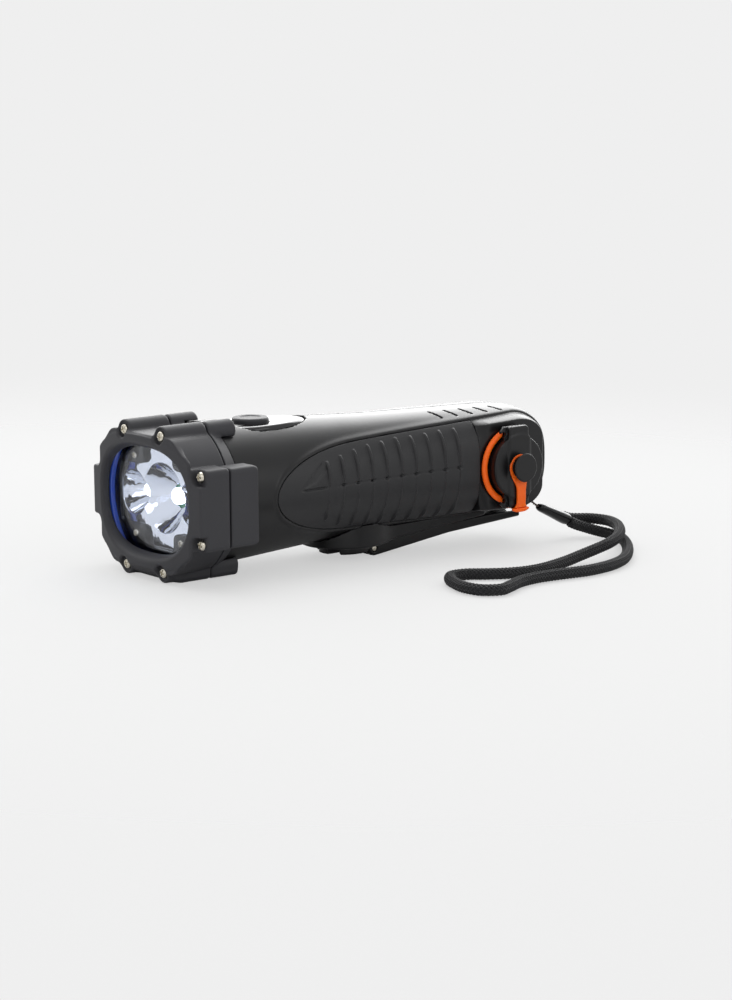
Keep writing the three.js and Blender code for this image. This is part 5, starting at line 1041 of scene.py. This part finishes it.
def foot_shape(x, y, z):
    """A tongue with a round underside that thins as it runs in under the cap to the body."""
    u, v = x - PORT_X, z - (FOOT_TOP + FOOT_BOTTOM) / 2
    front_view = rounded(u, v, FOOT_HALF, (FOOT_TOP - FOOT_BOTTOM) / 2, 0.8)
    front_view = both(front_view, np.hypot(u, z - FOOT_BOTTOM - FOOT_CURVE) - FOOT_CURVE, 0.4)
    rise = np.clip((y - RISE_FRONT) * RISE_SLOPE, 0, RISE_MOST)
    inner = np.maximum(between(y, FOOT_FRONT, FOOT_REAR), np.abs(u) - FOOT_HALF + RISE_IN * rise)
    tongue = both(front_view, np.maximum(inner, FOOT_BOTTOM + rise - z), 0.7)
    return without(tongue, loft(x, y, z, 0.2), 0.1)


# Silicone: opaque orange, matt, a little of the light going under its skin
ORANGE = textured(
    "silicone_orange", ("#ff5f05", "#ff7010"), 0.42, 0.1, 0.06, 1400.0,
    IOR=1.4, Subsurface_Weight=0.15, Subsurface_Scale=0.0015,
)
PORT_PIECES = [
    ("hinge_arc", ring_shape, (152.6, -25.9, -17.8), (163.4, -23.9, 15.2), 0.22, ORANGE, "port_gasket"),
    ("plug_cap", cap_shape, (156.0, -34.0, -18.4), (182.4, -16.1, 15.8), 0.34, SHELL, "port_cap"),
    ("keyhole_strap", strap_shape, (162.5, -31.2, -18.5), (175.9, -29.1, 4.4), 0.22, ORANGE, "port_strap"),
    ("strap_tongue", foot_shape, (164.3, -30.8, -20.3), (174.1, -13.9, -18.4), 0.22, ORANGE, "strap_foot"),
]
PORT_SLOTS = {SHELL: "cap_plastic", ORANGE: "orange_rubber"}
for (*piece, node), body in zip(PORT_PIECES, ("torch", "cap", "cap", "torch")):
    shaped(*piece, PORT_SLOTS[piece[-1]], [node], body)

# Inner pieces keep their CAD shape: boards, switch, cell and cradle, gears and their frame, generator,
# the port's tray and sockets, and the pins. Each gets the material it would be made of.
NYLON = textured("nylon_natural", ("#e3dfd2", "#d8d3c4"), 0.5, 0.08, 0.08, 900.0)
BRASS = textured("turned_brass", ("#c59b4a", "#b8903f"), 0.3, 0.06, 0.08, 1800.0, Metallic=1.0)
STEEL = textured("zinc_plated_steel", ("#b9bcc0", "#a9adb2"), 0.32, 0.06, 0.1, 1200.0, Metallic=1.0)
BOARD = textured("solder_mask_green", ("#174d31", "#1d5a3a"), 0.35, 0.1, 0.06, 1500.0, Coat_Weight=0.3)
WRAP = textured("cell_wrap_blue", ("#2f62a0", "#3a6dab"), 0.35, 0.05, 0.05, 500.0)
INNER = {
    NYLON: ("battery_cradle", "crank_gear", "idler_gear", "gear_tray", "gear_plate"),
    BRASS: ("generator_rotor",),
    STEEL: ("idler_axle", "generator_can", "usb_socket", "charge_socket", "knob_pin", "strap_pin"),
    BOARD: ("led_board", "main_board", "port_board"),
    WRAP: ("battery",),
    GLOSS: ("power_switch", "port_tray"),
}
for material, nodes in INNER.items():
    for node in nodes:
        frame["nodes"][node].data.materials.clear()
        frame["nodes"][node].data.materials.append(material)

# Floor: a wide pale sheet that fades into the background away from the torch. The camera sees it part
# transparent, which softens its shadows, and from below sees right through it.
floor = bpy.data.objects.new("floor", bpy.data.meshes.new("floor"))
floor.data.from_pydata([(-6, -6, 0), (6, -6, 0), (6, 6, 0), (-6, 6, 0)], [], [(0, 1, 2, 3)])
bpy.context.scene.collection.objects.link(floor)
FADE = {"From Min": 0.25, "From Max": 0.7, "To Min": 0.6, "interpolation_type": "SMOOTHSTEP"}
paper, paper_shader = finish("floor_paper", "#f0f0f0", 0.9)
where = add(paper, "ShaderNodeTexCoord").outputs["Object"]
reach = add(paper, "ShaderNodeVectorMath", {"operation": "LENGTH"}, {0: where}).outputs["Value"]
fade = add(paper, "ShaderNodeMapRange", FADE, {"Value": reach}).outputs["Result"]
to_camera = add(paper, "ShaderNodeLightPath").outputs["Is Camera Ray"]
below = add(paper, "ShaderNodeNewGeometry").outputs["Backfacing"]
most = add(paper, "ShaderNodeMath", {"operation": "MAXIMUM"}, {0: fade, 1: below}).outputs[0]
veil = add(paper, "ShaderNodeMath", {"operation": "MULTIPLY"}, {0: most, 1: to_camera}).outputs[0]
see_through(paper, paper_shader, veil)
floor.data.materials.append(paper)
floor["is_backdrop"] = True

# Light: a pale background that the camera, gloss and glass see, a dimmer room for everything else, and
# four soft lamps, the last of them seen only in gloss
sky = bpy.data.worlds.new("studio")
bpy.context.scene.world = sky
sky.use_nodes = True
sky.node_tree.nodes.clear()
seen = add(sky, "ShaderNodeBackground", {"Color": colour("#efefef")}).outputs[0]
room = add(sky, "ShaderNodeBackground", {"Color": colour("#f5f5f5"), "Strength": 0.75}).outputs[0]
ray = add(sky, "ShaderNodeLightPath").outputs
shiny = add(sky, "ShaderNodeMath", {}, {0: ray["Is Camera Ray"], 1: ray["Is Glossy Ray"]}).outputs[0]
clear = add(sky, "ShaderNodeMath", {"use_clamp": True}, {0: shiny, 1: ray["Is Transmission Ray"]})
swap = add(sky, "ShaderNodeMixShader", {}, {0: clear.outputs[0], 1: room, 2: seen})
add(sky, "ShaderNodeOutputWorld", {}, {0: swap.outputs[0]})
LAMPS = {  # place and aim in metres, width, height, watts, and whether it lights matt surfaces
    "lamp_top": ((0.1, 0.35, 0.9), (0.0, 0.0, 0.0), 1.2, 0.8, 4.0, True),
    "lamp_front": ((-0.9, -0.9, 0.7), (0.0, 0.0, 0.03), 0.6, 0.6, 1.6, True),
    "lamp_side": ((0.5, -1.0, 0.5), (0.05, 0.0, 0.03), 0.5, 0.4, 0.8, True),
    "lamp_behind": ((0.62, 0.8, 0.58), (0.0, 0.0, 0.05), 2.0, 0.8, 24.0, False),
}
for name, (place, aim, width, height, watts, matt) in LAMPS.items():
    lamp = bpy.data.objects.new(name, bpy.data.lights.new(name, "AREA"))
    lamp.data.shape, lamp.data.energy = "RECTANGLE", watts
    lamp.data.size, lamp.data.size_y = width, height
    lamp.location = place
    lamp.rotation_euler = (Vector(aim) - Vector(place)).to_track_quat("-Z", "Y").to_euler()
    lamp.visible_camera, lamp.visible_diffuse = False, matt
    bpy.context.scene.collection.objects.link(lamp)
bpy.context.scene.view_settings.view_transform = "Standard"

low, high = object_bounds()
